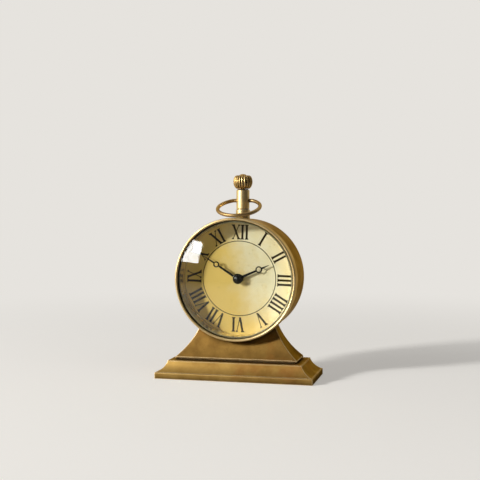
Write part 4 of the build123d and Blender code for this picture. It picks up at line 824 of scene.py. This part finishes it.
# %% Crystal glass
crystal_glass, tree, shader = start_finish("crystal_glass")
output = tree.nodes["Material Output"]
place = surface_place(tree)
prints = add_node(
    tree, "ShaderNodeTexNoise", {"Scale": per_mm(9), "Detail": 3.0}, {"Vector": place}
)
haze = add_node(
    tree, "ShaderNodeMapRange", {"From Min": 0.5, "From Max": 0.8, "To Min": 0.0, "To Max": 0.06},
    {"Value": prints.outputs["Fac"]},
)
tree.links.new(shader.inputs["Roughness"], haze.outputs["Result"])
shader.inputs["Base Color"].default_value = linear("#F6FAF8")
shader.inputs["Transmission Weight"].default_value = 1.0
shader.inputs["IOR"].default_value = 1.5
ray = add_node(tree, "ShaderNodeLightPath")
light_path = add_node(
    tree, "ShaderNodeMath", {"operation": "MAXIMUM"},
    {0: ray.outputs["Is Shadow Ray"], 1: ray.outputs["Is Diffuse Ray"]},
)
clear = add_node(tree, "ShaderNodeBsdfTransparent", {"Color": linear("#F6FAF8")})
let_light_in = add_node(
    tree, "ShaderNodeMixShader", links={
        0: light_path.outputs["Value"], 1: shader.outputs["BSDF"], 2: clear.outputs["BSDF"],
    },
)
tree.links.new(output.inputs["Surface"], let_light_in.outputs["Shader"])
glass.data.materials.append(crystal_glass)

# %% [markdown]
# ## Black lacquer
# The hands are stamped sheet steel with black lacquer: dark, smooth and a little uneven, so that its
# highlights break up.

# %% Black lacquer
black_lacquer, tree, shader = start_finish("black_lacquer")
place = surface_place(tree)
pull = add_node(tree, "ShaderNodeTexNoise", {"Scale": per_mm(1.5), "Detail": 3.0}, {"Vector": place})
lacquer_colour = add_node(
    tree, "ShaderNodeMix", {"data_type": "RGBA", 6: linear("#0A0908"), 7: linear("#16120E")},
    {"Factor": pull.outputs["Fac"]},
)
tree.links.new(shader.inputs["Base Color"], lacquer_colour.outputs[2])
lacquer_gloss = add_node(
    tree, "ShaderNodeMapRange", {"To Min": 0.25, "To Max": 0.45}, {"Value": pull.outputs["Fac"]}
)
tree.links.new(shader.inputs["Roughness"], lacquer_gloss.outputs["Result"])
shader.inputs["Specular IOR Level"].default_value = 0.25
give_finish(black_lacquer, "minute_hand", "hour_hand", "hand_hub")

# %% [markdown]
# ## Inside the case
# The movement shows only with the rear cover off. Its shell is black ABS, moulded with a fine spark grain.
# The wheels are white acetal, smooth and a little see-through. Screws, contacts and the cell are steel,
# drawn or rolled. Each gets its own grain at its real size.

# %% Finishes inside the case
def inner_finish(name, light, dark, metal, smooth, rough, pattern, relief):
    """A plain moulded or rolled finish: two near colours and two roughnesses over one grain, in mm."""
    material, tree, shader = start_finish(name)
    place = surface_place(tree)
    grain = add_node(
        tree, "ShaderNodeTexNoise", {"Scale": per_mm(pattern), "Detail": 4.0, "Roughness": 0.6},
        {"Vector": place},
    )
    colour = add_node(
        tree, "ShaderNodeMix", {"data_type": "RGBA", 6: linear(light), 7: linear(dark)},
        {"Factor": grain.outputs["Fac"]},
    )
    tree.links.new(shader.inputs["Base Color"], colour.outputs[2])
    dullness = add_node(
        tree, "ShaderNodeMapRange", {"From Min": 0.3, "From Max": 0.7, "To Min": smooth, "To Max": rough},
        {"Value": grain.outputs["Fac"]},
    )
    tree.links.new(shader.inputs["Roughness"], dullness.outputs["Result"])
    bump = add_node(
        tree, "ShaderNodeBump", {"Strength": 1.0, "Distance": relief * MM}, {"Height": grain.outputs["Fac"]}
    )
    tree.links.new(shader.inputs["Normal"], bump.outputs["Normal"])
    shader.inputs["Metallic"].default_value = metal
    return material


black_abs = inner_finish("moulded_black_abs", "#1B1B1D", "#101011", 0.0, 0.38, 0.6, 0.3, 0.008)
white_acetal = inner_finish("moulded_acetal", "#E9E8E2", "#D9D7CF", 0.0, 0.3, 0.42, 1.0, 0.002)
white_acetal.node_tree.nodes["Principled BSDF"].inputs["Subsurface Weight"].default_value = 0.15
bright_steel = inner_finish("rolled_steel", "#BDBFC1", "#9FA2A5", 1.0, 0.2, 0.34, 0.6, 0.001)
sintered_magnet = inner_finish("sintered_magnet", "#4A4A4C", "#363638", 1.0, 0.45, 0.65, 0.2, 0.006)
copper_winding = inner_finish("enamelled_copper", "#B4562C", "#8A3E1E", 1.0, 0.22, 0.4, 0.12, 0.02)
board_laminate = inner_finish("solder_mask", "#1C5A30", "#134324", 0.0, 0.25, 0.4, 0.8, 0.004)
potting_resin = inner_finish("potting_resin", "#17171A", "#0C0C0E", 0.0, 0.12, 0.25, 1.2, 0.01)
give_finish(black_abs, "movement_front_plate", "movement_housing", "coil_bobbin")
give_finish(
    white_acetal, "rotor_pinion", "intermediate_wheel", "seconds_wheel", "third_wheel", "centre_wheel",
    "minute_wheel", "hour_wheel", "set_knob",
)
give_finish(
    bright_steel, "stand_screws", "cradle_screw", "dial_nuts", "neck_nut", "crown_grub_screw",
    "movement_screws", "stator", "clutch_washer", "minute_arbor", "button_cell", "negative_contact",
    "positive_contact", "quartz_crystal",
)
give_finish(sintered_magnet, "rotor_magnet")
give_finish(copper_winding, "coil_winding")
give_finish(board_laminate, "circuit_board")
give_finish(potting_resin, "chip_cap")

# %% [markdown]
# ## Floor
# The clock stands on plain pale paper. A real sweep of paper curves up behind the object so that no
# horizon line shows. Seen from all round it would have to curve up on every side, so this sheet is a flat
# disc whose far part fades into the colour of the room. The fade is only for rays from the camera, or
# from metal and glass that mirror it, and in those mirrors the paper is as bright as the room on that side.
# The soft light that the paper throws on the clock doesn't change, and the shadow on the paper stays.

# %% Floor
ROOM_COLOUR = linear("#E6E3DE")
BRIGHT_SIDE = (-0.45, 0.85, 0.3)
DIMMEST, DIM_UNTIL, BRIGHT_FROM = 0.04, -0.35, 0.6
FADE_FROM, FADE_TO = 0.08, 0.5
PAPER_LIFT = 0.42
PAPER_RADIUS = 6.0
PAPER_SIDES = 96


def mirrored_rays(tree, ray):
    """1 for rays that metal or glass sends on and 0 for all others."""
    either = add_node(
        tree, "ShaderNodeMath", {"operation": "MAXIMUM"},
        {0: ray.outputs["Is Glossy Ray"], 1: ray.outputs["Is Transmission Ray"]},
    )
    return either.outputs["Value"]


def room_brightness(tree, direction):
    """How bright the mirrored room is in a direction: full on the bright side, dimmest opposite."""
    towards_light = add_node(
        tree, "ShaderNodeVectorMath", {"operation": "DOT_PRODUCT", 1: BRIGHT_SIDE}, {0: direction}
    )
    brightness = add_node(
        tree, "ShaderNodeMapRange", {"From Min": DIM_UNTIL, "From Max": BRIGHT_FROM, "To Min": DIMMEST},
        {"Value": towards_light.outputs["Value"]},
    )
    return brightness.outputs["Result"]


floor_mesh = bmesh.new()
rim = [2 * math.pi * i / PAPER_SIDES for i in range(PAPER_SIDES)]
floor_mesh.faces.new(
    [floor_mesh.verts.new((PAPER_RADIUS * math.cos(a), PAPER_RADIUS * math.sin(a), 0.0)) for a in rim]
)
paper_floor = mesh_object("paper_floor", floor_mesh)

studio_paper, tree, shader = start_finish("studio_paper")
output = tree.nodes["Material Output"]
place = surface_place(tree)
tooth = add_node(tree, "ShaderNodeTexNoise", {"Scale": per_mm(1.0), "Detail": 3.0}, {"Vector": place})
sheet_colour = add_node(
    tree, "ShaderNodeMix", {"data_type": "RGBA", 6: ROOM_COLOUR, 7: linear("#DFDCD6")},
    {"Factor": tooth.outputs["Fac"]},
)
tree.links.new(shader.inputs["Base Color"], sheet_colour.outputs[2])
shader.inputs["Roughness"].default_value = 0.85
shader.inputs["Specular IOR Level"].default_value = 0.2
ray = add_node(tree, "ShaderNodeLightPath")
mirrored = mirrored_rays(tree, ray)
bearing = add_node(tree, "ShaderNodeVectorMath", {"operation": "NORMALIZE"}, {0: place})
in_mirrors = add_node(
    tree, "ShaderNodeMath", {"operation": "MULTIPLY"},
    {0: mirrored, 1: room_brightness(tree, bearing.outputs["Vector"])},
)
seen_strength = add_node(
    tree, "ShaderNodeMath", {"operation": "MAXIMUM"},
    {0: ray.outputs["Is Camera Ray"], 1: in_mirrors.outputs["Value"]},
)
lift = add_node(
    tree, "ShaderNodeMath", {"operation": "MULTIPLY", 1: PAPER_LIFT}, {0: seen_strength.outputs["Value"]}
)
lifted = add_node(
    tree, "ShaderNodeEmission", {"Color": ROOM_COLOUR}, {"Strength": lift.outputs["Value"]}
)
near_sheet = add_node(
    tree, "ShaderNodeAddShader", links={0: shader.outputs["BSDF"], 1: lifted.outputs["Emission"]}
)
far_sheet = add_node(
    tree, "ShaderNodeEmission", {"Color": ROOM_COLOUR}, {"Strength": seen_strength.outputs["Value"]}
)
from_clock = add_node(tree, "ShaderNodeVectorMath", {"operation": "LENGTH"}, {0: place})
fade = add_node(
    tree, "ShaderNodeMapRange",
    {"interpolation_type": "SMOOTHSTEP", "From Min": FADE_FROM, "From Max": FADE_TO},
    {"Value": from_clock.outputs["Value"]},
)
seen_at_all = add_node(
    tree, "ShaderNodeMath", {"operation": "MAXIMUM"},
    {0: ray.outputs["Is Camera Ray"], 1: mirrored},
)
fade_when_seen = add_node(
    tree, "ShaderNodeMath", {"operation": "MULTIPLY"},
    {0: fade.outputs["Result"], 1: seen_at_all.outputs["Value"]},
)
sheet = add_node(
    tree, "ShaderNodeMixShader", links={
        0: fade_when_seen.outputs["Value"], 1: near_sheet.outputs["Shader"], 2: far_sheet.outputs["Emission"],
    },
)
tree.links.new(output.inputs["Surface"], sheet.outputs["Shader"])
paper_floor.data.materials.append(studio_paper)
print("Paper is", 2 * PAPER_RADIUS, "m across")

# %% [markdown]
# ## Light
# The photo has one main light, low on the left: it throws the rim's shadow across the left of the dial,
# and the window it comes through is mirrored in the glass. Here a small soft box gives the light and its
# shadows, and a larger and weaker one behind it gives the bright window in the glass. Both stand 2 m away,
# so that the paper near the clock is evenly lit. A wide one on the right keeps the shadows open, and metal
# and glass don't mirror it. The room is pale behind the clock and on its left, and dimmer on the right and
# where the photographer stands, so that the brass has both to mirror.

# %% Lights
LAMPS_AIM_AT = Vector((0.0, 0.0, 0.05))


def soft_box(name, azimuth, elevation, distance, size, power):
    """A square area lamp that faces the clock, placed by its angles from the front and above the table."""
    lamp = bpy.data.lights.new(name, "AREA")
    lamp.shape = "SQUARE"
    lamp.size = size
    lamp.energy = power
    holder = bpy.data.objects.new(name, lamp)
    bpy.context.scene.collection.objects.link(holder)
    turn, lift = math.radians(azimuth), math.radians(elevation)
    away = Vector((math.sin(turn) * math.cos(lift), -math.cos(turn) * math.cos(lift), math.sin(lift)))
    holder.location = LAMPS_AIM_AT + away * distance
    holder.rotation_euler = away.to_track_quat("Z", "Y").to_euler()
    print(name, "stands", distance, "m away, at", azimuth, "and", elevation, "degrees")
    return holder


soft_box("key_box", -47, 18, 2.0, 0.24, 40.5)
soft_box("window_box", -52, 15.0, 2.1, 0.58, 11.0)
fill_box = soft_box("fill_box", 62, 38, 1.4, 0.9, 1.5)
fill_box.visible_glossy = False

# %% Room
AMBIENT_STRENGTH = 0.11

world = bpy.data.worlds.new("pale_room")
bpy.context.scene.world = world
world.use_nodes = True
tree = world.node_tree
tree.nodes.clear()
ray = add_node(tree, "ShaderNodeLightPath")
mirrored = mirrored_rays(tree, ray)
direction = add_node(tree, "ShaderNodeTexCoord").outputs["Generated"]
backdrop = add_node(tree, "ShaderNodeBackground", {"Color": ROOM_COLOUR})
mirror_room = add_node(
    tree, "ShaderNodeBackground", {"Color": ROOM_COLOUR}, {"Strength": room_brightness(tree, direction)}
)
ambient = add_node(tree, "ShaderNodeBackground", {"Color": ROOM_COLOUR, "Strength": AMBIENT_STRENGTH})
lit_or_mirrored = add_node(
    tree, "ShaderNodeMixShader", links={
        0: mirrored, 1: ambient.outputs["Background"], 2: mirror_room.outputs["Background"],
    },
)
room = add_node(
    tree, "ShaderNodeMixShader", links={
        0: ray.outputs["Is Camera Ray"], 1: lit_or_mirrored.outputs["Shader"],
        2: backdrop.outputs["Background"],
    },
)
add_node(tree, "ShaderNodeOutputWorld", links={"Surface": room.outputs["Shader"]})
bpy.context.scene.view_settings.view_transform = "Standard"
